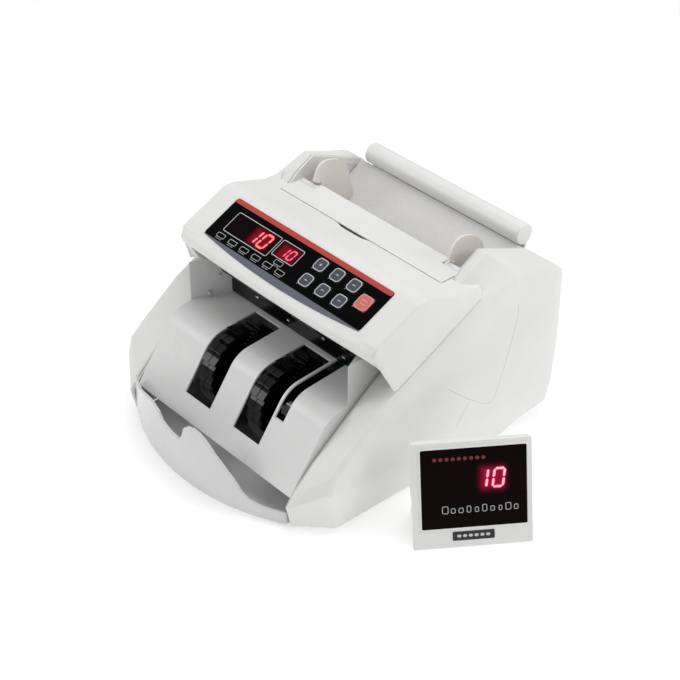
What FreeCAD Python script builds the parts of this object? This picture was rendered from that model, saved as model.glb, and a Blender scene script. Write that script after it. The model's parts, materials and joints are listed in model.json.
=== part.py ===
"""Desktop bill counter with counterfeit detection, and its customer display.

Millimetres. +X is the machine's right side seen by the operator, +Y points to
the back, +Z up. The origin lies on the table, midway between the four feet.
"""
import FreeCAD, Part
import math
import os
import types

import Sketcher

Vector = FreeCAD.Vector

# Driving dimensions, one spreadsheet cell each. Every name becomes an alias.
DIMENSIONS = {
    # shell
    "wall": 2.5, "seam": 0.3,
    "plate_inner": 96, "plate_outer": 98, "wing_half": 105, "crease_half": 123,
    "cover_half": 127.5, "housing_half": 115, "band_height": 36,
    "nose_lean": 0.28, "swell_half": 125.8, "swell_inset": 4, "face_inset": 12,
    # control panel: its top edge on the mid-plane, and its slope
    "panel_y": -10.5, "panel_z": 162.4, "panel_slope": 25.9,
    "panel_half": 92, "panel_up": -3.6, "panel_depth": 40, "overlay_thick": 0.6,
    "lip_bulge": 5, "lip_y": -53.5, "lip_low": 128, "lip_high": 137,
    # keys and windows on the panel, measured down from its top edge
    "key_size": 11.5, "key_column": 21, "key_pitch": 19, "key_row": 15.8,
    "key_row_pitch": 16.6, "key_gap": 0.3, "key_rise": 0.7, "key_travel": 0.6,
    "reset_x": 77, "reset_down": 23.3, "reset_size": 13.5, "key_height": 2.3,
    "count_window_x": -52.9, "count_window_down": 23.5, "count_window_wide": 51,
    "count_window_high": 18.5, "batch_window_x": -11.9, "batch_window_down": 21.3,
    "batch_window_wide": 24, "batch_window_high": 14.2, "window_thick": 1.2,
    "board_depth": 8, "board_thick": 1.6,
    # access flap
    "flap_front": 31, "flap_rear": 59, "flap_half": 94, "flap_top": 152.5,
    "flap_shoulder_y": 50.5, "flap_shoulder_half": 74.5, "flap_thick": 2.4, "flap_gap": 0.6,
    "flap_axis_y": 57.4, "flap_axis_z": 151.2, "flap_pin": 1,
    "scoop_x": -4, "scoop_radius": 46.6, "scoop_depth": 5,
    # hopper
    "hopper_low_y": 56, "hopper_low_z": 102.7, "hopper_top_y": 120.9,
    "hopper_top_z": 145.9, "hopper_thick": 3, "hopper_half": 95.5,
    "bar_y": 127, "bar_z": 153, "bar_radius": 9, "bar_bore": 6.8, "bar_half": 88.5,
    "guide_x": 80, "guide_thick": 2.4, "guide_inward": 25, "guide_outward": 10,
    "rail_y": 84, "rail_z": 112, "rail_radius": 3, "tongue_wide": 7,
    # transport: shaft centres and rollers
    "shaft_radius": 3, "bush_bore": 3.05, "bush_outer": 6,
    "stacker_y": -62, "stacker_z": 50, "wheel_radius": 38, "wheel_hub": 9,
    "wheel_wide": 24, "wheel_x": 30, "vane_count": 12, "vane_thick": 1.1,
    "guide_sheet": 2, "guide_flange": 20, "pocket_half": 80, "pocket_rear": -32,
    "pocket_front": -64,
    "feed_y": 28, "feed_z": 88.5, "feed_radius": 19.5,
    "counting_y": -14, "counting_z": 92, "counting_radius": 15,
    "pickup_y": 66, "pickup_z": 97.5, "pickup_radius": 12,
    "pinch_z": 113.6, "pinch_radius": 6, "roller_x": 16, "roller_wide": 22,
    "motor_y": 70, "motor_z": 38, "motor_radius": 24, "motor_length": 60,
    "belt_wide": 5, "belt_thick": 1.4, "belt_gap": 0.3, "belt_plane": -101.5,
    "belt_pitch": 6.5, "motor_pulley": 7, "feed_big": 15, "feed_small": 10,
    "counting_pulley": 7.5, "stacker_pulley": 12, "pickup_pulley": 12.5,
    # base, back and inside
    "table_gap": 2, "foot_radius": 9, "foot_x": 82, "foot_front": -84, "foot_rear": 64,
    "rear_face": 128, "rear_thick": 2.5, "rear_half": 95.8,
    "inlet_x": -60, "inlet_z": 68, "inlet_wide": 27, "inlet_high": 34,
    "switch_x": -22, "switch_z": 68, "switch_wide": 15, "switch_high": 21,
    "rocker_tilt": 8, "port_x": 60, "port_z": 66,
    # front note tray
    "tray_radius": 188, "tray_front": -150, "tray_sheet": 2.2, "tray_half": 94.5,
    "tray_floor": 2.2,
    # customer display
    "display_x": 178, "display_y": -71.3, "display_z": 0, "display_yaw": 55.4,
    "display_lean": 20, "display_wide": 90, "display_high": 83, "bezel_deep": 5,
    "shell_deep": 7, "lens_left": 6.5, "lens_low": 15.8, "lens_wide": 79.5, "lens_high": 62,
    "leg_pivot": 42, "leg_axis_depth": 15.6, "leg_length": 36.2, "leg_open": 25.5,
    "leg_wide": 81, "leg_thick": 2.6, "leg_pin": 1.5,
}

# The side cover's outline seen from the side: name, y, z at the outer crease,
# and y, z at the inner edge, which reaches further forward beside the tray and
# climbs higher beside the hopper.
COVER_OUTLINE = [
    ("base_front", -99, 2, -123, 2),
    ("nose_low", -110, 39, -127.5, 22),
    ("nose_high", -106, 53, -119.5, 32.5),
    ("brow", -93, 64, -100.5, 51),
    ("slope_foot", -58, 91, -47, 92),
    ("wing_foot", 46, 145, 34, 146),
    ("wing_knee", 61, 150, 50, 159.5),
    ("wing_peak", 80, 156.5, 67, 169.5),
    ("tail_top", 128, 141, 119, 148.5),
    ("tail_corner", 135.5, 134.5, 128, 141),
    ("tail_middle", 135.5, 70, 133.5, 70),
    ("tail_low", 131.6, 29, 129.6, 29),
    ("heel", 126.8, 11, 125.4, 11),
    ("step", 98, 7.7, 97, 7.7),
    ("base_rear", 77, 2, 77, 2),
]

# The control housing's side view at its top edge and at the crease.
HOUSING_OUTLINE = [
    ("lip_bottom", -53, 127, -42, 100.2),
    ("lip_nose", -56.5, 133, -43, 101.2),
    ("lip_edge", -54, 141.3, -42.5, 102.4),
    ("crown_front", -12, 161.7, -12, 117.2),
    ("crown", -3, 162.4, -3, 122),
    ("slot", 31, 152.5, 31, 139.6),
    ("rear_top", 56.5, 152.5, 45, 146.6),
    ("rear_bottom", 56.5, 116, 44.8, 144.4),
    ("inside", 0, 112, 0, 120.6),
    ("cheek_foot", -38, 100, -38, 101.2),
]

doc = FreeCAD.newDocument("bill_counter")
sheet = doc.addObject("Spreadsheet::Sheet", "Sizes")
nodes = []


class Size:
    """A length that knows both its number and its spreadsheet expression."""

    def __init__(self, number, text):
        self.number = number
        self.text = text

    def __add__(self, other):
        return Size(self.number + number(other), f"({self.text} + {text(other)})")

    def __radd__(self, other):
        return Size(number(other) + self.number, f"({text(other)} + {self.text})")

    def __sub__(self, other):
        return Size(self.number - number(other), f"({self.text} - {text(other)})")

    def __rsub__(self, other):
        return Size(number(other) - self.number, f"({text(other)} - {self.text})")

    def __mul__(self, other):
        return Size(self.number * number(other), f"({self.text} * {text(other)})")

    __rmul__ = __mul__

    def __truediv__(self, other):
        return Size(self.number / number(other), f"({self.text} / {text(other)})")

    def __neg__(self):
        return Size(-self.number, f"(-1 * {self.text})")


def number(size):
    return size.number if isinstance(size, Size) else float(size)


def text(size):
    return size.text if isinstance(size, Size) else f"({float(size):.6f})"


def fill_sheet():
    """Write every driving dimension into the sheet and return them by name."""
    values = dict(DIMENSIONS)
    for prefix, rows, levels in (("cover", COVER_OUTLINE, ("outer", "inner")),
                                 ("housing", HOUSING_OUTLINE, ("top", "crease"))):
        for name, *corner in rows:
            for level, y, z in zip(levels, corner[0::2], corner[1::2]):
                values[f"{prefix}_{name}_{level}_y"] = y
                values[f"{prefix}_{name}_{level}_z"] = z
    for row, (alias, value) in enumerate(values.items(), start=1):
        sheet.set(f"A{row}", alias)
        sheet.set(f"B{row}", str(value))
        sheet.setAlias(f"B{row}", alias)
    doc.recompute()
    return {name: Size(float(v), f"Sizes.{name}") for name, v in values.items()}


ALL_SIZES = fill_sheet()
S = types.SimpleNamespace(**ALL_SIZES)

PANEL_FRAME = "placement(vector(0; Sizes.panel_y; Sizes.panel_z); rotationx(Sizes.panel_slope))"
DISPLAY_FRAME = ("placement(vector(Sizes.display_x; Sizes.display_y; Sizes.display_z); "
                 "rotationz(Sizes.display_yaw) * rotationx(-1 * Sizes.display_lean))")
TURNS = {
    "X": FreeCAD.Rotation(Vector(0, 1, 0), 90),
    "Y": FreeCAD.Rotation(Vector(1, 0, 0), -90),
    "Z": FreeCAD.Rotation(),
}


# ---------------------------------------------------------------- basic shapes

def bind(thing, **sizes):
    for name, size in sizes.items():
        thing.setExpression(name, text(size))


def move_to(thing, base):
    for axis, size in zip("xyz", base):
        thing.setExpression(f"Placement.Base.{axis}", text(size))


def node(thing, label):
    """Name a finished sub-part, so that it is checked and written."""
    thing.Label = label
    nodes.append(thing)
    return thing


def box(label, low, size):
    shape = doc.addObject("Part::Box", label)
    bind(shape, Length=size[0], Width=size[1], Height=size[2])
    move_to(shape, low)
    return shape


def rod(label, axis, start, radius, length):
    shape = doc.addObject("Part::Cylinder", label)
    bind(shape, Radius=radius, Height=length)
    shape.Placement = FreeCAD.Placement(Vector(), TURNS[axis])
    move_to(shape, start)
    return shape


def mid_rod(label, y, z, radius, half):
    """A cylinder along X, the same length on both sides of the mid-plane."""
    return rod(label, "X", (-half, y, z), radius, half * 2)


def plane_of(body, role):
    return [item for item in body.Origin.OriginFeatures if item.Role == role][0]


def outline_sketch(body, role, points, offset):
    """A closed polygon whose every corner is held by two bound distances."""
    sketch = body.newObject("Sketcher::SketchObject", body.Name + "_outline")
    sketch.AttachmentSupport = (plane_of(body, role), [""])
    sketch.MapMode = "FlatFace"
    sketch.setExpression("AttachmentOffset.Base.z", text(offset))
    flat = [Vector(number(u), number(v), 0) for u, v in points]
    for start, end in zip(flat, flat[1:] + flat[:1]):
        sketch.addGeometry(Part.LineSegment(start, end), False)
    count = len(flat)
    for index in range(count):
        sketch.addConstraint(
            Sketcher.Constraint("Coincident", index, 2, (index + 1) % count, 1))
    for index, corner in enumerate(points):
        for kind, size in zip(("DistanceX", "DistanceY"), corner):
            held = sketch.addConstraint(
                Sketcher.Constraint(kind, -1, 1, index, 1, number(size)))
            sketch.setExpression(f"Constraints[{held}]", text(size))
    return sketch


def prism(label, role, points, low, length):
    """Pad a polygon. low is its lowest coordinate along the plane's normal axis."""
    body = doc.addObject("PartDesign::Body", label)
    offset = -(low + length) if role == "XZ_Plane" else low
    sketch = outline_sketch(body, role, points, offset)
    pad = body.newObject("PartDesign::Pad", label + "_pad")
    pad.Profile = sketch
    bind(pad, Length=length)
    body.Tip = pad
    return body


def side_prism(label, points, half):
    """A prism along X, centred on the mid-plane."""
    return prism(label, "YZ_Plane", points, -half, half * 2)


def slab(label, low, size):
    """A rectangular block as a body, so that its Placement stays free."""
    x, y, z = low
    wide, deep, high = size
    corners = [(x, y), (x + wide, y), (x + wide, y + deep), (x, y + deep)]
    return prism(label, "XY_Plane", corners, z, high)


def loft(label, role, sections):
    """Ruled loft through polygons given as (offset, points)."""
    body = doc.addObject("PartDesign::Body", label)
    sketches = [outline_sketch(body, role, points, offset) for offset, points in sections]
    skin = body.newObject("PartDesign::AdditiveLoft", label + "_skin")
    skin.Profile = sketches[0]
    skin.Sections = sketches[1:]
    skin.Ruled = True
    body.Tip = skin
    return body


def fuse(label, parts):
    shape = doc.addObject("Part::MultiFuse", label)
    shape.Shapes = parts
    return shape


def cut(label, base, tools):
    tool = tools[0] if len(tools) == 1 else fuse(label + "_tools", tools)
    shape = doc.addObject("Part::Cut", label)
    shape.Base = base
    shape.Tool = tool
    return shape


def common(label, first, second):
    shape = doc.addObject("Part::Common", label)
    shape.Base = first
    shape.Tool = second
    return shape


def group(label, parts):
    shape = doc.addObject("Part::Compound", label)
    shape.Links = parts
    return shape


def round_edges(body, radius, wanted):
    """Fillet the edges of a body that the test picks."""
    doc.recompute()
    tip = body.Tip
    names = [f"Edge{index}" for index, edge in enumerate(tip.Shape.Edges, start=1)
             if wanted(edge)]
    fillet = body.newObject("PartDesign::Fillet", body.Name + "_round")
    fillet.Base = (tip, names)
    bind(fillet, Radius=radius)
    body.Tip = fillet
    return body


def along(edge, axis):
    """True for a straight edge that runs along one axis."""
    ends = [vertex.Point for vertex in edge.Vertexes]
    if len(ends) != 2:
        return False
    step = ends[1] - ends[0]
    return abs(getattr(step, axis)) > 0.99 * step.Length


def inset(points, distance):
    """Move each corner of a polygon inwards by the wall thickness."""
    flat = [(number(u), number(v)) for u, v in points]
    count = len(flat)
    area = sum(flat[i - 1][0] * flat[i][1] - flat[i][0] * flat[i - 1][1] for i in range(count))
    side = 1 if area > 0 else -1
    moved = []
    for index, (u, v) in enumerate(flat):
        before, after = flat[index - 1], flat[(index + 1) % count]
        normals = []
        for start, end in ((before, (u, v)), ((u, v), after)):
            run = math.hypot(end[0] - start[0], end[1] - start[1])
            normals.append((-side * (end[1] - start[1]) / run, side * (end[0] - start[0]) / run))
        mean_u = normals[0][0] + normals[1][0]
        mean_v = normals[0][1] + normals[1][1]
        scale = 2 / (mean_u ** 2 + mean_v ** 2)
        corner = points[index]
        moved.append((corner[0] + distance * (mean_u * scale), corner[1] + distance * (mean_v * scale)))
    return moved


def arc_points(centre_y, centre_z, radius, first, last, steps):
    """Points on an arc from one angle to another, in degrees."""
    angles = [first + (last - first) * step / steps for step in range(steps + 1)]
    return [(centre_y + radius * math.cos(math.radians(a)),
             centre_z + radius * math.sin(math.radians(a))) for a in angles]


def outline(prefix, rows, level):
    return [(ALL_SIZES[f"{prefix}_{row[0]}_{level}_y"], ALL_SIZES[f"{prefix}_{row[0]}_{level}_z"])
            for row in rows]


def mirrored(sections):
    """The same loft sections on the other side of the mid-plane."""
    return [(-offset, points) for offset, points in reversed(sections)]


# ---------------------------------------------------------------- side covers

def raised_bottom(points, height):
    """The outer face starts above the tapered band along the cover's foot."""
    return [(u, height + 0 if number(v) < number(height) else v) for u, v in points]


def shoulder(inner, outer):
    """The outline at the wing: its front rows already lean towards the crease."""
    front = 5
    leaning = [(y + (v - y) * S.nose_lean, z + (w - z) * S.nose_lean)
               for (y, z), (v, w) in zip(inner[:front], outer[:front])]
    return leaning + inner[front:]


def cover_sections(inner_half, lift):
    outer = [(y, z + lift) for y, z in outline("cover", COVER_OUTLINE, "outer")]
    inner = [(y, z + lift) for y, z in outline("cover", COVER_OUTLINE, "inner")]
    swell = raised_bottom(inset(outer, S.swell_inset), S.band_height * 0.6)
    face = raised_bottom(inset(outer, S.face_inset), S.band_height)
    return [(inner_half, inner), (S.wing_half, shoulder(inner, outer)), (S.crease_half, outer),
            (S.swell_half, swell), (S.cover_half, face)]


def hollow_sections():
    outer = inset(outline("cover", COVER_OUTLINE, "outer"), S.wall)
    inner = inset(outline("cover", COVER_OUTLINE, "inner"), S.wall)
    crease = outline("cover", COVER_OUTLINE, "outer")
    swell = raised_bottom(inset(crease, S.swell_inset + S.wall / 2), S.band_height * 0.6)
    face = raised_bottom(inset(crease, S.face_inset), S.band_height)
    return [(S.plate_outer - 1, inner), (S.wing_half - 1, shoulder(inner, outer)),
            (S.crease_half - S.wall, outer), (S.swell_half - S.wall, swell),
            (S.cover_half - S.wall, face)]


def make_side_cover(side, hand):
    turn = mirrored if side == "left" else list
    shell = loft(f"{side}_cover_skin", "YZ_Plane", turn(cover_sections(S.plate_outer, 0)))
    hollow = loft(f"{side}_cover_hollow", "YZ_Plane", turn(hollow_sections()))
    node(cut(f"side_cover_{side}", shell, [hollow]), f"side_cover_{side}")
    low = S.plate_inner if hand > 0 else -S.plate_outer
    plate = prism(f"{side}_plate_sheet", "YZ_Plane",
                  inset(outline("cover", COVER_OUTLINE, "inner"), 1.2), low, S.plate_outer - S.plate_inner)
    holes = [rod(f"{side}_plate_hole", "X", (low - 1, y, z), S.bush_outer, 4)
             for y, z in shaft_centres()]
    if hand < 0:
        holes.append(rod("motor_clearance", "X", (low - 1, S.motor_y, S.motor_z), S.bush_outer, 4))
    node(cut(f"frame_plate_{side}", plate, holes), f"frame_plate_{side}")


def shaft_centres():
    return [(S.stacker_y, S.stacker_z), (S.feed_y, S.feed_z), (S.counting_y, S.counting_z),
            (S.pickup_y, S.pickup_z), (S.counting_y, S.pinch_z)]


def make_bushings():
    rings = []
    for low in (S.plate_inner, -S.plate_outer):
        for y, z in shaft_centres():
            outer = rod("bush_outer", "X", (low, y, z), S.bush_outer, 2)
            bore = rod("bush_bore", "X", (low - 1, y, z), S.bush_bore, 4)
            rings.append(cut("bush", outer, [bore]))
    node(group("shaft_bushings", rings), "shaft_bushings")


# ---------------------------------------------------------------- control housing

def key_places():
    """Name, x and distance below the panel's top edge of the six grey keys."""
    names = [("key_plus", "key_minus", "key_batch"), ("key_add", "key_ultraviolet", "key_magnetic")]
    return [(name, S.key_column + S.key_pitch * column, S.key_row + S.key_row_pitch * row)
            for row, line in enumerate(names) for column, name in enumerate(line)]


def panel_slab(label, x, down, wide, high, low, thick):
    """A block in the panel's own frame, centred at x and down."""
    return slab(label, (x - wide / 2, -down - high / 2, low), (wide, high, thick))


def panel_openings(grow, low, thick):
    """Blocks for the keys and windows, a little larger than the pieces."""
    blocks = []
    for name, x, down in key_places():
        size = S.key_size + grow * 2
        blocks.append(panel_slab(name + "_hole", x, down, size, size, low, thick))
    size = S.reset_size + grow * 2
    blocks.append(panel_slab("reset_hole", S.reset_x, S.reset_down, size, size, low, thick))
    blocks.append(panel_slab("count_hole", S.count_window_x, S.count_window_down,
                             S.count_window_wide, S.count_window_high, low, thick))
    blocks.append(panel_slab("batch_hole", S.batch_window_x, S.batch_window_down,
                             S.batch_window_wide, S.batch_window_high, low, thick))
    return blocks


def make_control_housing():
    top = outline("housing", HOUSING_OUTLINE, "top")
    skirt = outline("housing", HOUSING_OUTLINE, "crease")
    skin = loft("housing_skin", "YZ_Plane",
                [(-S.crease_half, skirt), (-S.housing_half, top),
                 (S.housing_half, top), (S.crease_half, skirt)])
    bulge = prism("housing_bulge", "XY_Plane", lip_arc(), S.lip_low, S.lip_high - S.lip_low)
    inner = inset(top, S.wall)
    lowered = [(y, z - 30) if number(z) < 125 else (y, z) for y, z in inner]
    hollow = side_prism("housing_hollow", lowered, S.housing_half - S.wall)
    mouth = box("housing_mouth", (-S.plate_inner, -75, 85), (S.plate_inner * 2, 50, S.lip_low - 86))
    gap = S.flap_gap
    seat_low = S.flap_top - S.flap_thick - gap
    seats = [box("flap_seat", (-half - gap, S.flap_front - gap, seat_low),
                 (half * 2 + gap * 2, rear - S.flap_front + gap * 2, 10))
             for half, rear in ((S.flap_half, S.flap_shoulder_y), (S.flap_shoulder_half, S.flap_rear))]
    scoop = rod("finger_scoop", "Z", (S.scoop_x, S.flap_front + S.scoop_radius - S.scoop_depth,
                                      seat_low + 0.9), S.scoop_radius, 10)
    covers = [loft("cover_gap_right", "YZ_Plane", cover_sections(S.plate_inner - 0.3, S.seam)),
              loft("cover_gap_left", "YZ_Plane", mirrored(cover_sections(S.plate_inner - 0.3, S.seam)))]
    holes = fuse("panel_holes", panel_openings(S.key_gap, -6, 12))
    holes.setExpression("Placement", PANEL_FRAME)
    shell = cut("housing_shell", fuse("housing_solid", [skin, bulge]),
                [hollow, mouth, scoop, holes] + seats + covers)
    front = S.flap_front
    ledge = side_prism("flap_ledge", [(front - 7, seat_low - 0.4), (front + 4, seat_low - 2.2),
                                      (front + 4, seat_low + 0.1), (front - 0.8, seat_low + 0.1),
                                      (front - 0.8, seat_low + 0.9), (front - 5, seat_low + 0.9),
                                      (front - 5.1, seat_low + 2.6), (front - 7, seat_low + 2.9)],
                       S.flap_half - 2)
    ears = []
    for hand in (-1, 1):
        half = S.flap_shoulder_half
        low = half + 0.4 if hand > 0 else -half - 2.2
        ears.append(box("flap_ear", (low, S.flap_axis_y - 3, S.flap_axis_z - 8), (1.8, 5.6, 9.2)))
        start = half - 5 if hand > 0 else -half - 1
        ears.append(rod("flap_pin", "X", (start, S.flap_axis_y, S.flap_axis_z), S.flap_pin, 6))
    node(fuse("control_housing", [shell, ledge] + ears), "control_housing")


def lip_arc():
    """The lip under the panel bows forward in the middle."""
    points = [(S.housing_half - 2, S.lip_y), (S.housing_half - 2, S.lip_y + 1.5),
              (-S.housing_half + 2, S.lip_y + 1.5), (-S.housing_half + 2, S.lip_y)]
    for step in range(1, 12):
        across = -1 + step / 6
        points.append((S.housing_half * (0.98 * across), S.lip_y - S.lip_bulge * (1 - across ** 2)))
    return points


def make_panel():
    film = slab("overlay_film", (-S.panel_half, S.panel_up - S.panel_depth, 0.1),
                (S.panel_half * 2, S.panel_depth, S.overlay_thick))
    round_edges(film, 2.5, lambda edge: along(edge, "z"))
    overlay = cut("panel_overlay", film, panel_openings(S.key_gap, -1, 3))
    overlay.setExpression("Placement", PANEL_FRAME)
    node(overlay, "panel_overlay")
    windows = group("display_windows", [
        panel_slab("count_lens", S.count_window_x, S.count_window_down, S.count_window_wide - 0.3,
                   S.count_window_high - 0.3, 0.7 - S.window_thick, S.window_thick),
        panel_slab("batch_lens", S.batch_window_x, S.batch_window_down, S.batch_window_wide - 0.3,
                   S.batch_window_high - 0.3, 0.7 - S.window_thick, S.window_thick)])
    windows.setExpression("Placement", PANEL_FRAME)
    node(windows, "display_windows")
    digits = group("digit_modules", [
        panel_slab("count_digits", S.count_window_x, S.count_window_down, S.count_window_wide - 1,
                   S.count_window_high - 0.6, -S.board_depth, S.board_depth - 0.9),
        panel_slab("batch_digits", S.batch_window_x, S.batch_window_down, S.batch_window_wide - 1,
                   S.batch_window_high - 0.6, -S.board_depth, S.board_depth - 0.9)])
    digits.setExpression("Placement", PANEL_FRAME)
    node(digits, "digit_modules")
    make_control_board()
    for name, x, down in key_places():
        make_key(name, x, down, S.key_size)
    make_key("key_reset", S.reset_x, S.reset_down, S.reset_size)


def make_key(name, x, down, size):
    low = 0.1 + S.overlay_thick + S.key_rise - S.key_height
    cap = panel_slab(name, x, down, size, size, low, S.key_height)
    round_edges(cap, 3.0, lambda edge: along(edge, "z"))
    cap.setExpression("Placement", PANEL_FRAME)
    node(cap, name)


def make_control_board():
    """Circuit board under the panel with one tactile switch below each key."""
    sheet_top = -S.board_depth
    board = slab("control_board_sheet", (-S.panel_half + 4, -S.panel_depth - 2, sheet_top - S.board_thick),
                 (S.panel_half * 2 - 8, S.panel_depth - 3, S.board_thick))
    gap = S.key_travel + 0.15
    stem = 0.1 + S.overlay_thick + S.key_rise - S.key_height - gap
    parts = [board]
    places = key_places() + [("key_reset", S.reset_x, S.reset_down)]
    for name, x, down in places:
        parts.append(panel_slab(name + "_switch", x, down, 6, 6, sheet_top, 4))
        parts.append(panel_slab(name + "_stem", x, down, 3, 3, sheet_top + 4, stem - sheet_top - 4))
    board_node = fuse("control_board", parts)
    board_node.setExpression("Placement", PANEL_FRAME)
    node(board_node, "control_board")


def make_access_flap():
    """Hinged lid behind the panel; a finger reaches it through the housing's scoop."""
    half, narrow = S.flap_half, S.flap_shoulder_half
    front, rear, step = S.flap_front, S.flap_rear, S.flap_shoulder_y
    plate = prism("flap_plate", "XY_Plane",
                  [(-half, front), (half, front), (half, step), (narrow, step), (narrow, rear),
                   (-narrow, rear), (-narrow, step), (-half, step)],
                  S.flap_top - S.flap_thick, S.flap_thick)
    bores = [rod("flap_bore", "X", (low, S.flap_axis_y, S.flap_axis_z), S.flap_pin + 0.05, 8)
             for low in (narrow - 6, -narrow - 2)]
    node(cut("access_flap", plate, bores), "access_flap")


# ---------------------------------------------------------------- hopper

def hopper_rise():
    return (S.hopper_top_z - S.hopper_low_z) / (S.hopper_top_y - S.hopper_low_y)


def hopper_height(y):
    return S.hopper_low_z + hopper_rise() * (y - S.hopper_low_y)


def make_hopper():
    drop = S.hopper_thick * 1.2
    profile = [(S.hopper_low_y, S.hopper_low_z), (S.hopper_top_y, S.hopper_top_z),
               (S.hopper_top_y, S.hopper_top_z - drop), (S.hopper_low_y, S.hopper_low_z - drop)]
    plate = side_prism("hopper_sheet", profile, S.hopper_half)
    slots = []
    for hand in (-1, 1):
        reach = S.guide_inward + S.guide_outward + 10
        low = S.guide_x - S.guide_inward - 7 if hand > 0 else -S.guide_x - S.guide_outward - 3
        slots.append(box("guide_slot", (low, S.rail_y - 5, 105), (reach, 10, 30)))
        low = S.roller_x - 1 if hand > 0 else -S.roller_x - S.roller_wide - 1
        slots.append(box("pickup_slot", (low, S.hopper_low_y - 1, 90), (S.roller_wide + 2, 23, 30)))
    node(cut("hopper_plate", plate, slots), "hopper_plate")
    bar = mid_rod("bar_round", S.bar_y, S.bar_z, S.bar_radius, S.bar_half)
    bore = mid_rod("bar_hollow", S.bar_y, S.bar_z, S.bar_bore, S.bar_half - 2)
    skirt = side_prism("bar_skirt", [(129, 146), (131.5, 146), (128.5, 138), (126, 138)], S.bar_half)
    node(cut("hopper_grip_bar", fuse("bar_solid", [bar, skirt]), [bore]), "hopper_grip_bar")
    node(mid_rod("guide_rail", S.rail_y, S.rail_z, S.rail_radius, S.plate_inner), "guide_rail")
    for side, hand in (("left", -1), ("right", 1)):
        make_note_guide(side, hand)


def make_note_guide(side, hand):
    """Upright plate that slides sideways on the rail to fit the note's length."""
    lift = 0.7
    profile = [(60.8, hopper_height(60.8) + lift), (96, hopper_height(96.0) + lift), (92, 146),
               (90.9, 152), (88.8, 157.8), (85, 163), (80.4, 167.2), (75, 169.8), (69.5, 171.2),
               (65, 171.7), (61, 170.6), (57.8, 167.8), (55.4, 163.6), (53.6, 158.8),
               (53, 156.9), (57.2, 154.1), (60.8, 154.1)]
    low = S.guide_x - S.guide_thick if hand > 0 else -S.guide_x
    blade = prism(f"guide_{side}_blade", "YZ_Plane", profile, low, S.guide_thick)
    tongue = box(f"guide_{side}_tongue", (low, S.rail_y - S.tongue_wide / 2, S.rail_z),
                 (S.guide_thick, S.tongue_wide, 16))
    boss = rod(f"guide_{side}_boss", "X", (low - 2, S.rail_y, S.rail_z), 5.2, S.guide_thick + 4)
    bore = rod(f"guide_{side}_bore", "X", (low - 4, S.rail_y, S.rail_z), S.rail_radius + 0.05,
               S.guide_thick + 8)
    body = fuse(f"guide_{side}_body", [blade, tongue, boss])
    node(cut(f"note_guide_{side}", body, [bore]), f"note_guide_{side}")


# ---------------------------------------------------------------- note transport

def make_feed_path():
    path = [(53, 102.6), (46, 104), (38, 106), (20, 107), (-31, 107), (-31, 105.4), (20, 105.4),
            (38, 104.4), (46, 102.4), (53, 101)]
    sheet_metal = side_prism("path_sheet", path, S.plate_inner)
    slots = []
    for hand in (-1, 1):
        low = S.roller_x - 1 if hand > 0 else -S.roller_x - S.roller_wide - 1
        slots.append(box("feed_slot", (low, 12, 95), (S.roller_wide + 2, 32, 20)))
        slots.append(box("count_slot", (low, -24, 95), (S.roller_wide + 2, 20, 20)))
    node(cut("feed_path_plate", sheet_metal, slots), "feed_path_plate")
    bridge = [(-51, 126.8), (-30, 126.8), (-24, 112), (-36, 109.5), (-44, 111)]
    apron = [(-34.2, 87.6), (-32.2, 87.6), (-32.2, 104.8), (-34.2, 104.8)]
    half = S.pocket_half - 0.4
    node(group("sensor_bridge", [side_prism("bridge_bar", bridge, half),
                                 side_prism("exit_apron", apron, half)]), "sensor_bridge")
    holder = box("retard_holder", (-S.plate_inner, 22, 118), (S.plate_inner * 2, 16, 3))
    pads = [box("retard_rubber", (low, 23, 108.4), (S.roller_wide - 2, 8, 9.6))
            for low in (S.roller_x + 1, -S.roller_x - S.roller_wide + 1)]
    screw_hole = rod("retard_thread", "Z", (0, 34, 117), 2.05, 6)
    node(cut("retard_pad", fuse("retard_body", [holder] + pads), [screw_hole]), "retard_pad")
    knob = rod("gap_knob", "Z", (0, 34, 134), 5.5, 9)
    screw = rod("gap_screw", "Z", (0, 34, 118.5), 2, 15.5)
    node(fuse("gap_adjust_screw", [knob, screw]), "gap_adjust_screw")
    node(mid_rod("ultraviolet_lamp", 8, 119, 4, S.plate_inner - 30), "ultraviolet_lamp")
    node(box("magnetic_head", (-9, -6, 107.4), (18, 9, 6)), "magnetic_head")


def roller_pair(label, y, z, radius, bore):
    pair = []
    for low in (S.roller_x, -S.roller_x - S.roller_wide):
        tyre = rod(label + "_tyre", "X", (low, y, z), radius, S.roller_wide)
        hole = rod(label + "_bore", "X", (low - 1, y, z), bore, S.roller_wide + 2)
        pair.append(cut(label + "_ring", tyre, [hole]))
    return pair


def pulley(label, y, z, radius, lane):
    """A flat pulley in one of the belt lanes, left of the left frame plate."""
    start = S.belt_plane - S.belt_pitch * lane - S.belt_wide
    return rod(label, "X", (start - 0.3, y, z), radius, S.belt_wide + 0.6)


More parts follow.
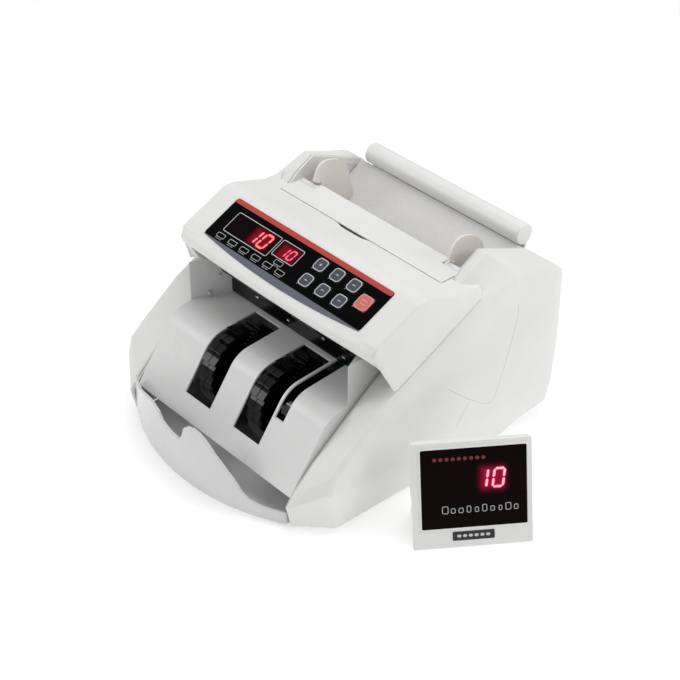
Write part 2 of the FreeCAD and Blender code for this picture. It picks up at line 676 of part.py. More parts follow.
def make_shafts():
    """Each shaft carries its pulleys on the left end, outside the frame plate."""
    right = S.plate_outer + 1
    rows = [
        ("stacker_shaft", S.stacker_y, S.stacker_z, [(S.stacker_pulley, 0)]),
        ("feed_shaft", S.feed_y, S.feed_z, [(S.feed_small, 0), (S.feed_big, 1), (S.feed_small, 2)]),
        ("counting_shaft", S.counting_y, S.counting_z, [(S.counting_pulley, 0)]),
        ("pickup_shaft", S.pickup_y, S.pickup_z, [(S.pickup_pulley, 2)]),
    ]
    for name, y, z, pulleys in rows:
        left = S.belt_plane - S.belt_pitch * pulleys[-1][1] - S.belt_wide - 1
        shaft = rod(name + "_rod", "X", (left, y, z), S.shaft_radius, right - left)
        wheels = [pulley(f"{name}_pulley", y, z, radius, lane) for radius, lane in pulleys]
        node(fuse(name, [shaft] + wheels), name)
    node(group("feed_rollers", roller_pair("feed", S.feed_y, S.feed_z, S.feed_radius, S.shaft_radius)),
         "feed_rollers")
    node(group("counting_rollers", roller_pair("counting", S.counting_y, S.counting_z,
                                               S.counting_radius, S.shaft_radius)), "counting_rollers")
    node(group("pickup_rollers", roller_pair("pickup", S.pickup_y, S.pickup_z,
                                             S.pickup_radius, S.shaft_radius)), "pickup_rollers")
    axle = mid_rod("pinch_axle", S.counting_y, S.pinch_z, S.shaft_radius, S.plate_outer)
    idlers = [rod("pinch_idler", "X", (low, S.counting_y, S.pinch_z), S.pinch_radius, S.roller_wide)
              for low in (S.roller_x, -S.roller_x - S.roller_wide)]
    node(fuse("pinch_rollers", [axle] + idlers), "pinch_rollers")


def vane_points():
    """One curved vane as a thin band that trails from the hub to the tip."""
    front, back = [], []
    inner, outer = number(S.wheel_hub) - 1, number(S.wheel_radius)
    for step in range(9):
        along_vane = step / 8
        radius = inner + (outer - inner) * along_vane
        sweep = math.radians(62 * along_vane ** 1.3)
        share = radius / outer
        half = 0.5 / radius
        front.append((S.wheel_radius * (share * math.cos(sweep)),
                      S.wheel_radius * (share * math.sin(sweep))))
        turn = sweep + 2 * half * number(S.vane_thick)
        back.append((S.wheel_radius * (share * math.cos(turn)),
                     S.wheel_radius * (share * math.sin(turn))))
    return front + back[::-1]


def make_stacker_wheel(side, hand):
    """Hub with curved vanes that take each note and lay it on the stack."""
    body = doc.addObject("PartDesign::Body", f"stacker_wheel_{side}_body")
    low = hand * S.wheel_x - S.wheel_wide / 2
    ring = outline_sketch(body, "YZ_Plane", vane_points(), low)
    vane = body.newObject("PartDesign::Pad", f"wheel_{side}_vane")
    vane.Profile = ring
    bind(vane, Length=S.wheel_wide)
    doc.recompute()
    fan = body.newObject("PartDesign::PolarPattern", f"wheel_{side}_vanes")
    fan.Originals = [vane]
    fan.Axis = ([item for item in body.Origin.OriginFeatures if item.Role == "X_Axis"][0], [""])
    fan.Angle = 360
    fan.setExpression("Occurrences", "Sizes.vane_count")
    body.Tip = fan
    hub = rod(f"wheel_{side}_hub", "X", (low, 0, 0), S.wheel_hub, S.wheel_wide)
    bore = rod(f"wheel_{side}_bore", "X", (low - 1, 0, 0), S.shaft_radius, S.wheel_wide + 2)
    wheel = cut(f"stacker_wheel_{side}", fuse(f"wheel_{side}_solid", [hub, body]), [bore])
    move_to(wheel, (0, S.stacker_y, S.stacker_z))
    node(wheel, f"stacker_wheel_{side}")


def guide_profile(depth):
    """The guide's side view, from its front surface to the given depth behind it."""
    slope, rise = math.radians(54.6), math.radians(5)
    front_run, back_run = 57, 39.7
    bend_radius, bend_y, bend_z = 24, -68.45, 59.36
    points = []
    for radius in (bend_radius, bend_radius - depth):
        bend = arc_points(bend_y, bend_z, radius, 95, 144.6, 8)
        top = (bend[0][0] + back_run * math.cos(rise), bend[0][1] + back_run * math.sin(rise))
        low = (bend[-1][0] - front_run * math.cos(slope), bend[-1][1] - front_run * math.sin(slope))
        line = [top] + bend + [low]
        points += line[::-1] if points else line
    return points


def make_stacker_guide():
    """White sheet that the notes lean on, slotted for the wheels, between two tapering cheeks."""
    half = S.plate_inner - 0.4
    sheet_body = side_prism("stacker_sheet", guide_profile(S.guide_sheet), half)
    slots = [box("wheel_slot", (hand * S.wheel_x - S.wheel_wide / 2 - 3.5, -110, 40),
                 (S.wheel_wide + 7, 73, 70)) for hand in (-1, 1)]
    slots.append(box("sensor_slot", (48, -110, 62), (9.5, 90, 60)))
    slotted = cut("slotted_sheet", sheet_body, slots)
    ends = [prism("guide_flange", "YZ_Plane", guide_profile(S.guide_flange), low, S.guide_sheet)
            for low in (half - S.guide_sheet, -half)]
    for hand in (-1, 1):
        ends.append(prism("pocket_cheek", "XY_Plane",
                          [(hand * half, S.pocket_front), (hand * half, S.pocket_rear),
                           (hand * S.pocket_half, S.pocket_rear)], 78, 42))
    node(fuse("stacker_guide", [slotted] + ends), "stacker_guide")


def make_motor():
    left = -S.plate_inner
    case = rod("motor_case", "X", (left + 3, S.motor_y, S.motor_z), S.motor_radius, S.motor_length)
    flange = box("motor_flange", (left, S.motor_y - 26, S.motor_z - 26), (3, 52, 52))
    nose = rod("motor_nose", "X", (left - 1, S.motor_y, S.motor_z), 4, 12)
    node(cut("motor", fuse("motor_body", [case, flange]), [nose]), "motor")
    start = S.belt_plane - S.belt_pitch - S.belt_wide - 1
    shaft = rod("motor_shaft", "X", (start, S.motor_y, S.motor_z), S.shaft_radius, left - start + 8)
    wheel = pulley("motor_pulley_rim", S.motor_y, S.motor_z, S.motor_pulley, 1)
    node(fuse("motor_pulley", [shaft, wheel]), "motor_pulley")


def hull_face(circles, grow):
    """The area inside a belt round circles (y, z, radius), listed anticlockwise."""
    rows = [[number(value) for value in row] for row in circles]
    lines = [tangent(rows[index], rows[(index + 1) % len(rows)], grow) for index in range(len(rows))]
    edges = []
    for index, (start, end, heading) in enumerate(lines):
        edges.append(Part.LineSegment(start, end).toShape())
        next_start, _, next_heading = lines[(index + 1) % len(lines)]
        y, z, radius = rows[(index + 1) % len(rows)]
        turn = (next_heading - heading) % (2 * math.pi)
        middle = heading - math.pi / 2 + turn / 2
        crest = Vector(0, y + (radius + grow) * math.cos(middle), z + (radius + grow) * math.sin(middle))
        edges.append(Part.Arc(end, crest, next_start).toShape())
    return Part.Face(Part.Wire(edges))


def tangent(first, second, grow):
    """The outer tangent on the right-hand side of the way from one circle to the next."""
    (y_a, z_a, r_a), (y_b, z_b, r_b) = first, second
    gap = math.hypot(y_b - y_a, z_b - z_a)
    heading = math.atan2(z_b - z_a, y_b - y_a) - math.asin((r_b - r_a) / gap)
    side = heading - math.pi / 2
    start = Vector(0, y_a + (r_a + grow) * math.cos(side), z_a + (r_a + grow) * math.sin(side))
    end = Vector(0, y_b + (r_b + grow) * math.cos(side), z_b + (r_b + grow) * math.sin(side))
    return start, end, heading


def belt(circles, lane):
    """A flat belt with a small running gap round its pulleys."""
    inside = hull_face(circles, S.belt_gap.number)
    outside = hull_face(circles, S.belt_gap.number + S.belt_thick.number)
    wide = S.belt_wide.number
    start = S.belt_plane.number - S.belt_pitch.number * lane - wide
    band = outside.cut(inside).extrude(Vector(wide, 0, 0))
    band.translate(Vector(start, 0, 0))
    return band


def make_belts():
    feed = (S.feed_y, S.feed_z)
    bands = [
        belt([(S.stacker_y, S.stacker_z, S.stacker_pulley), feed + (S.feed_small,),
              (S.counting_y, S.counting_z, S.counting_pulley)], 0),
        belt([(S.motor_y, S.motor_z, S.motor_pulley), feed + (S.feed_big,)], 1),
        belt([feed + (S.feed_small,), (S.pickup_y, S.pickup_z, S.pickup_pulley)], 2),
    ]
    shape = doc.addObject("Part::Feature", "drive_belts")
    shape.Shape = Part.makeCompound([solid for band in bands for solid in band.Solids])
    node(shape, "drive_belts")


# ---------------------------------------------------------------- base and back

def make_base():
    low = S.table_gap
    profile = [(-98, low), (76, low), (89, 8), (118, 13.5), (118, 16), (88, 10.6), (75, low + S.wall),
               (-98, low + S.wall)]
    node(side_prism("base_pan", profile, S.plate_inner - 0.2), "base_pan")
    feet = [rod("foot", "Z", (x, y, 0), S.foot_radius, low)
            for x in (-S.foot_x, S.foot_x) for y in (S.foot_front, S.foot_rear)]
    node(group("rubber_feet", feet), "rubber_feet")


def make_rear_cover():
    face, thick = S.rear_face, S.rear_thick
    profile = [(face, 131), (124.5, 137.5), (123, 135.8), (face - thick, 130), (face - thick, 50.5),
               (118.4, 17.5), (120.8, 16.4), (face, 50)]
    panel = side_prism("rear_sheet", profile, S.rear_half)
    tools = [
        box("inlet_hole", (S.inlet_x - S.inlet_wide / 2, 120, S.inlet_z - S.inlet_high / 2),
            (S.inlet_wide, 20, S.inlet_high)),
        box("switch_hole", (S.switch_x - S.switch_wide / 2, 120, S.switch_z - S.switch_high / 2),
            (S.switch_wide, 20, S.switch_high)),
        box("port_hole", (S.port_x - 8, 120, S.port_z - 7), (16, 20, 14)),
    ]
    for row in range(6):
        for side in (-1, 1):
            tools.append(box("vent", (20 + 36 * side - 26, 120, 95 + 5 * row), (52, 20, 2)))
    node(cut("rear_cover", panel, tools), "rear_cover")
    screws = []
    for x in (-88, 88):
        for z in (62, 122):
            head = rod("screw_head", "Y", (x, S.rear_face, z), 3.6, 1.8)
            slot = box("screw_slot", (x - 3, S.rear_face + 1.1, z - 0.5), (6, 2, 1))
            screws.append(cut("screw", head, [slot]))
    node(group("cover_screws", screws), "cover_screws")


def make_inlet():
    """Mains inlet: a shaped socket with three blades above a fuse drawer."""
    x, z, face = S.inlet_x, S.inlet_z, S.rear_face
    flange = box("inlet_flange", (x - 15.5, face, z - 19), (31, 2, 38))
    case = box("inlet_case", (x - 13.4, face - 24, z - 16.8), (26.8, 24, 33.6))
    socket = box("inlet_socket", (x - 12, face - 15, z - 4), (24, 20, 17))
    drawer_line = cut("drawer_ring", box("drawer_out", (x - 12, face + 1.2, z - 17), (24, 2, 9)),
                      [box("drawer_in", (x - 11.2, face, z - 16.2), (22.4, 4, 7.4))])
    shell = cut("inlet_shell", fuse("inlet_blank", [flange, case]), [socket, drawer_line])
    blades = [box("blade", (x - 1 + 7 * column, face - 16, z + 2.5 + 4 * (column == 0)), (2, 9, 4))
              for column in (-1, 0, 1)]
    node(fuse("power_inlet", [shell] + blades), "power_inlet")


def mid_pivot(label, half, radius):
    """A round bar on the rocker's axis, the same length on both sides of it."""
    return rod(label, "X", (S.switch_x - half, S.rear_face, S.switch_z), radius, half * 2)


def make_switch():
    x, z, face = S.switch_x, S.switch_z, S.rear_face
    rim = box("switch_rim", (x - 9.5, face, z - 12.5), (19, 1.6, 25))
    case = box("switch_case", (x - 7.4, face - 18, z - 10.4), (14.8, 18, 20.8))
    well = box("switch_well", (x - 5.6, face - 9, z - 8.9), (11.2, 20, 17.8))
    bores = mid_pivot("switch_bore", 7.0, 1.25)
    node(cut("switch_frame", fuse("switch_blank", [rim, case]), [well, bores]), "switch_frame")
    profile = [(-4.4, -3), (3.6, -8), (3.0, -7.4), (1.9, 0), (3.0, 7.4), (3.6, 8), (-4.4, 3)]
    paddle = prism("rocker_paddle", "YZ_Plane", profile, -5.3, 10.6)
    paddle.setExpression("Placement", "placement(vector(Sizes.switch_x; Sizes.rear_face; Sizes.switch_z); "
                         "rotationx(Sizes.rocker_tilt))")
    node(fuse("power_rocker", [paddle, mid_pivot("rocker_pivot", 6.6, 1.2)]), "power_rocker")
    block = box("port_block", (S.port_x - 7.8, face - 14, S.port_z - 6.8), (15.6, 15, 13.6))
    hollow = box("port_hollow", (S.port_x - 6, face - 11, S.port_z - 5), (12, 14, 8))
    node(cut("display_port", block, [hollow]), "display_port")


def make_electronics():
    base = S.table_gap + S.wall
    core = box("core", (18, 42, base + 2), (56, 34, 40))
    coil = box("coil", (26, 38, base + 8), (40, 42, 28))
    feet = box("transformer_lug", (10, 52, base), (72, 14, 2))
    node(fuse("transformer", [core, coil, feet]), "transformer")
    board = [box("main_sheet", (-20, -44, base + 6), (104, 80, 1.6))]
    board += [box("post", (x, y, base), (6, 6, 6)) for x in (-19, 77) for y in (-43, 29)]
    board += [rod("capacitor", "Z", (-8 + 18 * step, 22, base + 7.6), 5.5, 17) for step in range(3)]
    board += [box("chip", (4 + 24 * step, -30, base + 7.6), (18, 9, 3.2)) for step in range(3)]
    board += [box("connector", (52, -4 + 12 * step, base + 7.6), (26, 6, 9)) for step in range(3)]
    node(fuse("main_board", board), "main_board")


# ---------------------------------------------------------------- front note tray

def tray_arc(radius, half, reverse):
    """Points along the tray's curved front in plan."""
    centre = S.tray_front + S.tray_radius
    reach = math.degrees(math.asin(number(half) / number(radius)))
    angles = [-reach + 2 * reach * step / 16 for step in range(17)]
    points = [(radius * math.sin(math.radians(a)), centre - radius * math.cos(math.radians(a)))
              for a in angles]
    return points[::-1] if reverse else points


def make_note_tray():
    """Curved translucent wall with a waved top edge, and a floor behind it."""
    front = tray_arc(S.tray_radius, S.tray_half, False)
    inner = tray_arc(S.tray_radius - S.tray_sheet, S.tray_half, True)
    wall = prism("tray_wall", "XY_Plane", front + inner, S.table_gap, 62)
    edge = [(-96, 37), (-84, 39), (-71, 42), (-58, 47.5), (-46, 51), (-38, 51), (-31, 49), (-25, 43.5),
            (-14, 41), (-3, 40), (1, 45), (4, 54), (10, 59), (16, 60.5), (23, 59), (30, 54.5), (38, 46.5),
            (47, 37.5), (54, 30), (60, 21.5), (66, 16), (76, 14), (96, 13)]
    keep = prism("tray_keep", "XZ_Plane", [(96, 0), (-96, 0)] + edge, -160, 90)
    floor = prism("tray_floor", "XY_Plane",
                  tray_arc(S.tray_radius - S.tray_sheet / 2, S.tray_half, False)
                  + [(S.tray_half, -100), (-S.tray_half, -100)], S.table_gap, S.tray_floor)
    body = fuse("tray_body", [common("tray_front_wall", wall, keep), floor])
    node(body, "front_note_tray")


# ---------------------------------------------------------------- customer display

def make_display():
    wide, high, lean = S.display_wide, S.display_high, S.display_lean
    tilt = number(lean)
    foot = math.tan(math.radians(tilt))
    deep = S.bezel_deep
    back = S.bezel_deep + S.shell_deep
    bezel_side = [(0, 0), (deep, deep * foot), (deep, high), (0, high)]
    frame = prism("bezel_blank", "YZ_Plane", bezel_side, 0, wide)
    opening = slab("bezel_opening", (S.lens_left, -1, S.lens_low), (S.lens_wide, 10, S.lens_high))
    display_node(cut("display_bezel", frame, [opening]), "display_bezel")
    lens = slab("lens_sheet", (S.lens_left + 0.1, 0.6, S.lens_low + 0.1),
                (S.lens_wide - 0.2, 1.6, S.lens_high - 0.2))
    display_node(lens, "display_lens")
    shell_side = [(deep, deep * foot), (back, back * foot), (back, high - 2.5), (back - 2.5, high - 1),
                  (deep, high - 1)]
    shell = prism("shell_blank", "YZ_Plane", shell_side, 1.0, wide - 2)
    inside = slab("shell_inside", (3, deep - 1, 8), (wide - 6, S.shell_deep - 1, high - 12))
    port = slab("shell_port", (65.5, back - 3, 13.5), (13, 4, 10))
    hollow = cut("display_back", shell, [inside, port])
    display_node(fuse("display_rear_shell", [hollow] + leg_hinge(back)), "display_rear_shell")
    digits = slab("display_digits_block", (S.lens_left + 10, 2.4, S.lens_low + 18), (58, 4.4, 22))
    display_node(digits, "display_digits")
    board = slab("display_board_sheet", (8, 7.0, 12), (74, 1.6, 64))
    socket = slab("display_socket", (66, 8.4, 14), (12, 2.4, 9))
    display_node(fuse("display_board", [board, socket]), "display_board")
    make_display_leg()


def display_node(thing, label):
    thing.setExpression("Placement", DISPLAY_FRAME)
    return node(thing, label)


def leg_hinge(back):
    """Two ears behind the display's shell and the pin between them."""
    ear, gap = 2.8, 0.4
    low = (S.display_wide - S.leg_wide) / 2 - ear - gap
    high = (S.display_wide + S.leg_wide) / 2 + gap
    ears = [slab("leg_ear", (start, back, S.leg_pivot - 4), (ear, S.leg_axis_depth - back + 3, 8))
            for start in (low, high)]
    pin = rod("leg_pin", "X", (low, S.leg_axis_depth, S.leg_pivot), S.leg_pin, high - low + ear)
    return ears + [pin]


def make_display_leg():
    """Folding leg that swings on the display's hinge pin."""
    x0 = (S.display_wide - S.leg_wide) / 2
    axis_y, axis_z = S.leg_axis_depth, S.leg_pivot
    swing = number(S.leg_open) + number(S.display_lean)
    down, out = math.cos(math.radians(swing)), math.sin(math.radians(swing))
    half = S.leg_thick / 2
    tip_y, tip_z = axis_y + S.leg_length * out, axis_z - S.leg_length * down
    profile = [(axis_y + half * down, axis_z + half * out), (tip_y + half * down, tip_z + half * out),
               (tip_y - half * down, tip_z - half * out), (axis_y - half * down, axis_z - half * out)]
    panel = prism("leg_panel", "YZ_Plane", profile, x0, S.leg_wide)
    barrel = rod("leg_barrel", "X", (x0, axis_y, axis_z), S.leg_thick, S.leg_wide)
    bore = rod("leg_bore", "X", (x0 - 1, axis_y, axis_z), S.leg_pin + 0.06, S.leg_wide + 2)
    display_node(cut("display_leg", fuse("leg_solid", [panel, barrel]), [bore]), "display_leg")


# ---------------------------------------------------------------- build and write

def build():
    for side, hand in (("left", -1), ("right", 1)):
        make_side_cover(side, hand)
    make_bushings()
    make_control_housing()
    make_panel()
    make_access_flap()
    make_hopper()
    make_feed_path()
    make_shafts()
    for side, hand in (("left", -1), ("right", 1)):
        make_stacker_wheel(side, hand)
    make_stacker_guide()
    make_motor()
    make_belts()
    make_base()
    make_rear_cover()
    make_inlet()
    make_switch()
    make_electronics()
    make_note_tray()
    make_display()
    doc.recompute()


def check():
    """Stop with a plain message if any object failed or a shape is not sound."""
    for item in doc.Objects:
        if "Invalid" in item.State or "Error" in item.State:
            raise RuntimeError(f"{item.Label} did not compute: {item.State}")
    for item in nodes:
        if item.Shape.isNull() or not item.Shape.isValid() or not item.Shape.Solids:
            raise RuntimeError(f"{item.Label} has no sound solid")


def write():
    os.makedirs("parts", exist_ok=True)
    for item in nodes:
        item.Shape.exportStep(f"parts/{item.Label}.step")
        print(item.Label, len(item.Shape.Solids), round(item.Shape.Volume, 1))


build()
check()
write()
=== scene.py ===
"""Looks of the desktop bill counter and its customer display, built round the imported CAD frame.

Lengths are in millimetres until they meet Blender, which takes metres. +X is the
operator's right, +Y the back and +Z up; the origin lies on the table.
"""

import json
import math

import bmesh
import bpy
from mathutils import Matrix, Vector

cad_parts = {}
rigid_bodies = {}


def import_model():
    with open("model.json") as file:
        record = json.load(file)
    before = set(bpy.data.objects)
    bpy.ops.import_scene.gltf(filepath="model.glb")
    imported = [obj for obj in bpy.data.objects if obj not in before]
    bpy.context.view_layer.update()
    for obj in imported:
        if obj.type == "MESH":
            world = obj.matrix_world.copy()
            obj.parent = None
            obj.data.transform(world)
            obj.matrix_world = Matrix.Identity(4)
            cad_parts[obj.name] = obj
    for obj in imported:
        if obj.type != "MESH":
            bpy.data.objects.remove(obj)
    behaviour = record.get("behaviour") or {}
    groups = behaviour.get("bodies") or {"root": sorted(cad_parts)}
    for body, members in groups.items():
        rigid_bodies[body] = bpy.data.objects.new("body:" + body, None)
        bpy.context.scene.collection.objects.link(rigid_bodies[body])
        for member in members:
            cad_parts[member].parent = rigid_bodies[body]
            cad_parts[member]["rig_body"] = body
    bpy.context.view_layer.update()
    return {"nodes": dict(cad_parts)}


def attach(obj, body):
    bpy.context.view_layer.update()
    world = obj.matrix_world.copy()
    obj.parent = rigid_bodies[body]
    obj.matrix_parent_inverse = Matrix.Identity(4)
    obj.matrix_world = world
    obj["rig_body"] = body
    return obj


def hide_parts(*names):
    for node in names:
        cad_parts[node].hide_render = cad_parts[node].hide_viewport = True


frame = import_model()

MM = 0.001
nodes = frame["nodes"]

# Control panel: a sloping plane through the housing's crown.
PANEL_ORIGIN = (0, -10.5, 162.4)
PANEL_SLOPE = 25.9
OVERLAY_LIFT = 0.7

# Customer display: yawed towards the operator's right and leaning back.
DISPLAY_ORIGIN = (178, -71.3, 0)
DISPLAY_YAW = 55.4
DISPLAY_LEAN = 20


# ---------------------------------------------------------------- geometry helpers

class Plane:
    """A flat frame: u to the right, w up the slope, lift along its normal."""

    def __init__(self, origin, right, up):
        self.origin = Vector(origin)
        self.right = Vector(right).normalized()
        self.up = Vector(up).normalized()
        self.normal = self.right.cross(self.up)

    def point(self, u, w, lift=0.0):
        return (self.origin + self.right * u + self.up * w + self.normal * lift) * MM


def turned(yaw, lean, vector):
    turn = Matrix.Rotation(math.radians(yaw), 3, "Z") @ Matrix.Rotation(math.radians(-lean), 3, "X")
    return turn @ Vector(vector)


PANEL = Plane(PANEL_ORIGIN, (1, 0, 0),
              (0, math.cos(math.radians(PANEL_SLOPE)), math.sin(math.radians(PANEL_SLOPE))))
DISPLAY = Plane(DISPLAY_ORIGIN, turned(DISPLAY_YAW, DISPLAY_LEAN, (1, 0, 0)),
                turned(DISPLAY_YAW, DISPLAY_LEAN, (0, 0, 1)))


def rounded_box(centre_u, centre_w, wide, high, radius, steps=5):
    """Corner points of a rounded rectangle, anticlockwise."""
    radius = max(min(radius, wide / 2 - 0.01, high / 2 - 0.01), 0.01)
    points = []
    for corner, (side_u, side_w) in enumerate(((1, 1), (-1, 1), (-1, -1), (1, -1))):
        mid_u = centre_u + side_u * (wide / 2 - radius)
        mid_w = centre_w + side_w * (high / 2 - radius)
        for step in range(steps + 1):
            angle = math.radians(90 * corner + 90 * step / steps)
            points.append((mid_u + radius * math.cos(angle), mid_w + radius * math.sin(angle)))
    return points


class Build:
    """Collects closed solids and turns them into one object."""

    def __init__(self):
        self.mesh = bmesh.new()

    def solid(self, rings, close=True):
        """Skin a list of rings with the same number of points; cap both ends."""
        made = [[self.mesh.verts.new(point) for point in ring] for ring in rings]
        count = len(made[0])
        for first, second in zip(made, made[1:]):
            for index in range(count):
                after = (index + 1) % count
                self.mesh.faces.new((first[index], first[after], second[after], second[index]))
        if close:
            self.mesh.faces.new(made[0][::-1])
            self.mesh.faces.new(made[-1])
        return self

    def tile(self, plane, outline, low, high):
        return self.solid([[plane.point(u, w, lift) for u, w in outline] for lift in (low, high)])

    def frame(self, plane, outer, inner, low, high):
        """A flat ring between two outlines."""
        loops = [(outer, low), (outer, high), (inner, high), (inner, low)]
        made = [[self.mesh.verts.new(plane.point(u, w, lift)) for u, w in loop] for loop, lift in loops]
        count = len(outer)
        for step in range(4):
            first, second = made[step], made[(step + 1) % 4]
            for index in range(count):
                after = (index + 1) % count
                self.mesh.faces.new((first[index], first[after], second[after], second[index]))
        return self

    def block(self, low, high):
        x0, y0, z0 = low
        x1, y1, z1 = high
        ring = ((x0, y0), (x1, y0), (x1, y1), (x0, y1))
        return self.solid([[Vector((x, y, z)) * MM for x, y in ring] for z in (z0, z1)])

    def rod(self, start, end, radius, steps=24):
        start, end = Vector(start), Vector(end)
        way = (end - start).normalized()
        side = way.orthogonal().normalized()
        other = way.cross(side)
        rings = []
        for centre in (start, end):
            rings.append([(centre + side * (radius * math.cos(2 * math.pi * step / steps))
                           + other * (radius * math.sin(2 * math.pi * step / steps))) * MM
                          for step in range(steps)])
        return self.solid(rings)

    def done(self, name, body, material, smooth=True):
        bmesh.ops.recalc_face_normals(self.mesh, faces=self.mesh.faces)
        data = bpy.data.meshes.new(name)
        self.mesh.to_mesh(data)
        self.mesh.free()
        piece = bpy.data.objects.new(name, data)
        bpy.context.scene.collection.objects.link(piece)
        return finished(piece, body, material, smooth)


def finished(piece, body, material, smooth=True):
    piece.data.materials.clear()
    piece.data.materials.append(material)
    piece.data.polygons.foreach_set("use_smooth", [smooth] * len(piece.data.polygons))
    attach(piece, body)
    return piece


def modifier(piece, kind, **settings):
    made = piece.modifiers.new(kind.lower(), kind)
    for key, value in settings.items():
        setattr(made, key, value)
    return made


def ease(piece, width, segments=3, angle=30):
    """Round the sharp edges of a piece and even out its shading."""
    modifier(piece, "WELD", merge_threshold=2e-6)
    modifier(piece, "DECIMATE", decimate_type="DISSOLVE", angle_limit=math.radians(1.5))
    modifier(piece, "BEVEL", width=width * MM, segments=segments, limit_method="ANGLE",
             angle_limit=math.radians(angle), use_clamp_overlap=True)
    modifier(piece, "WEIGHTED_NORMAL", keep_sharp=False, weight=80)
    return piece


def baked(piece):
    """Replace a piece's mesh with the result of its modifiers."""
    graph = bpy.context.evaluated_depsgraph_get()
    data = bpy.data.meshes.new_from_object(piece.evaluated_get(graph))
    piece.modifiers.clear()
    piece.data = data
    return piece


def softened(node, name, material, voxel, passes, keep, extra=()):
    """Stand-in for a moulded CAD shell, with every edge rounded like the real moulding."""
    mesh = bmesh.new()
    mesh.from_mesh(nodes[node].data)
    for other in extra:
        mesh.from_mesh(other.data)
        bpy.data.objects.remove(other)
    bmesh.ops.remove_doubles(mesh, verts=mesh.verts, dist=2e-6)
    data = bpy.data.meshes.new(name)
    mesh.to_mesh(data)
    mesh.free()
    piece = bpy.data.objects.new(name, data)
    bpy.context.scene.collection.objects.link(piece)
    modifier(piece, "REMESH", mode="VOXEL", voxel_size=voxel * MM)
    modifier(piece, "SMOOTH", factor=0.5, iterations=passes)
    modifier(piece, "DECIMATE", decimate_type="COLLAPSE", ratio=keep)
    baked(piece)
    finished(piece, nodes[node]["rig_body"], material)
    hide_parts(node)
    return piece


# ---------------------------------------------------------------- materials

class Look:
    """A node material under construction. Object coordinates are metres in the part's frame."""

    def __init__(self, name):
        self.material = bpy.data.materials.new(name)
        self.material.use_nodes = True
        self.tree = self.material.node_tree
        self.shader = self.tree.nodes["Principled BSDF"]
        self.place = self.node("ShaderNodeTexCoord").outputs["Object"]

    def node(self, kind, inputs=None, **settings):
        made = self.tree.nodes.new(kind)
        for key, value in settings.items():
            setattr(made, key, value)
        for key, value in (inputs or {}).items():
            self.feed(made.inputs[key], value)
        return made

    def feed(self, socket, value):
        if isinstance(value, bpy.types.NodeSocket):
            self.tree.links.new(value, socket)
        elif isinstance(value, tuple) and len(value) == 3 and socket.type == "RGBA":
            socket.default_value = (*value, 1.0)
        else:
            socket.default_value = value

    def set(self, **sockets):
        for name, value in sockets.items():
            self.feed(self.shader.inputs[name.replace("_", " ")], value)
        return self

    def noise(self, grain, detail=3.0, stretch=None):
        """Noise whose features are about grain millimetres across."""
        place = self.place
        if stretch:
            place = self.node("ShaderNodeMapping", {"Vector": place, "Scale": stretch}).outputs[0]
        made = self.node("ShaderNodeTexNoise", {"Vector": place, "Scale": 1 / (grain * MM), "Detail": detail})
        return made.outputs[0]

    def ramp(self, value, low, high, out_low, out_high):
        made = self.node("ShaderNodeMapRange", {"Value": value, "From Min": low, "From Max": high,
                                                "To Min": out_low, "To Max": out_high})
        return made.outputs[0]

    def maths(self, operation, first, second=0.0):
        return self.node("ShaderNodeMath", {0: first, 1: second}, operation=operation).outputs[0]

    def blend(self, share, first, second):
        made = self.node("ShaderNodeMix", data_type="RGBA")
        self.feed(made.inputs[0], share)
        self.feed(made.inputs[6], rgba(first))
        self.feed(made.inputs[7], rgba(second))
        return made.outputs[2]

    def bump(self, height, distance, strength=1.0, before=None):
        made = self.node("ShaderNodeBump", {"Height": height, "Distance": distance * MM,
                                            "Strength": strength})
        if before is not None:
            self.feed(made.inputs["Normal"], before)
        return made.outputs[0]

    def pointiness(self):
        return self.node("ShaderNodeNewGeometry").outputs["Pointiness"]


def rgba(colour):
    if isinstance(colour, bpy.types.NodeSocket) or len(colour) == 4:
        return colour
    return (*colour, 1.0)


def scaled(colour, share):
    return tuple(min(1.0, part * share) for part in colour[:3])


def moulded(name, colour, rough, grain=0.45, depth=0.012, drift=0.03, wear=0.05, fade=None, **extra):
    """Injection-moulded plastic: drifting tone, fine spark-eroded grain and handled edges.

    fade is (near y, far y, tone at near, tone at far). It imitates the shading of the
    photographed object, and is not a colour of the object itself.
    """
    look = Look(name)
    drifting = look.noise(60, 4.0)
    base = look.blend(look.ramp(drifting, 0.3, 0.7, 0, 1),
                      scaled(colour, 1 - drift), scaled(colour, 1 + drift))
    edge = look.ramp(look.pointiness(), 0.52, 0.62, 0, 1)
    worn = look.blend(look.maths("MULTIPLY", edge, wear), base, scaled(colour, 1.25))
    # Darker in concave creases.
    crease = look.ramp(look.pointiness(), 0.49, 0.40, 0, 1)
    darkened_colour = look.blend(look.maths("MULTIPLY", crease, 0.35), worn, scaled(colour, 0.72))
    if fade:
        near, far, near_tone, far_tone = fade
        along = look.node("ShaderNodeSeparateXYZ", {0: look.place})
        inward = look.ramp(along.outputs["Y"], near * MM, far * MM, 0, 1)
        shade = look.blend(inward, (near_tone,) * 3, (far_tone,) * 3)
        tinted = look.node("ShaderNodeVectorMath", {0: darkened_colour, 1: shade}, operation="MULTIPLY")
        darkened_colour = tinted.outputs["Vector"]
    smudge = look.noise(18, 5.0)
    roughness = look.ramp(smudge, 0.35, 0.7, rough - 0.05, rough + 0.07)
    fine = look.noise(grain, 2.0)
    polish = look.maths("MULTIPLY", edge, 0.06)
    look.set(Base_Color=darkened_colour, Roughness=look.maths("SUBTRACT", roughness, polish))
    look.set(Normal=look.bump(fine, depth))
    look.set(**extra)
    return look.material


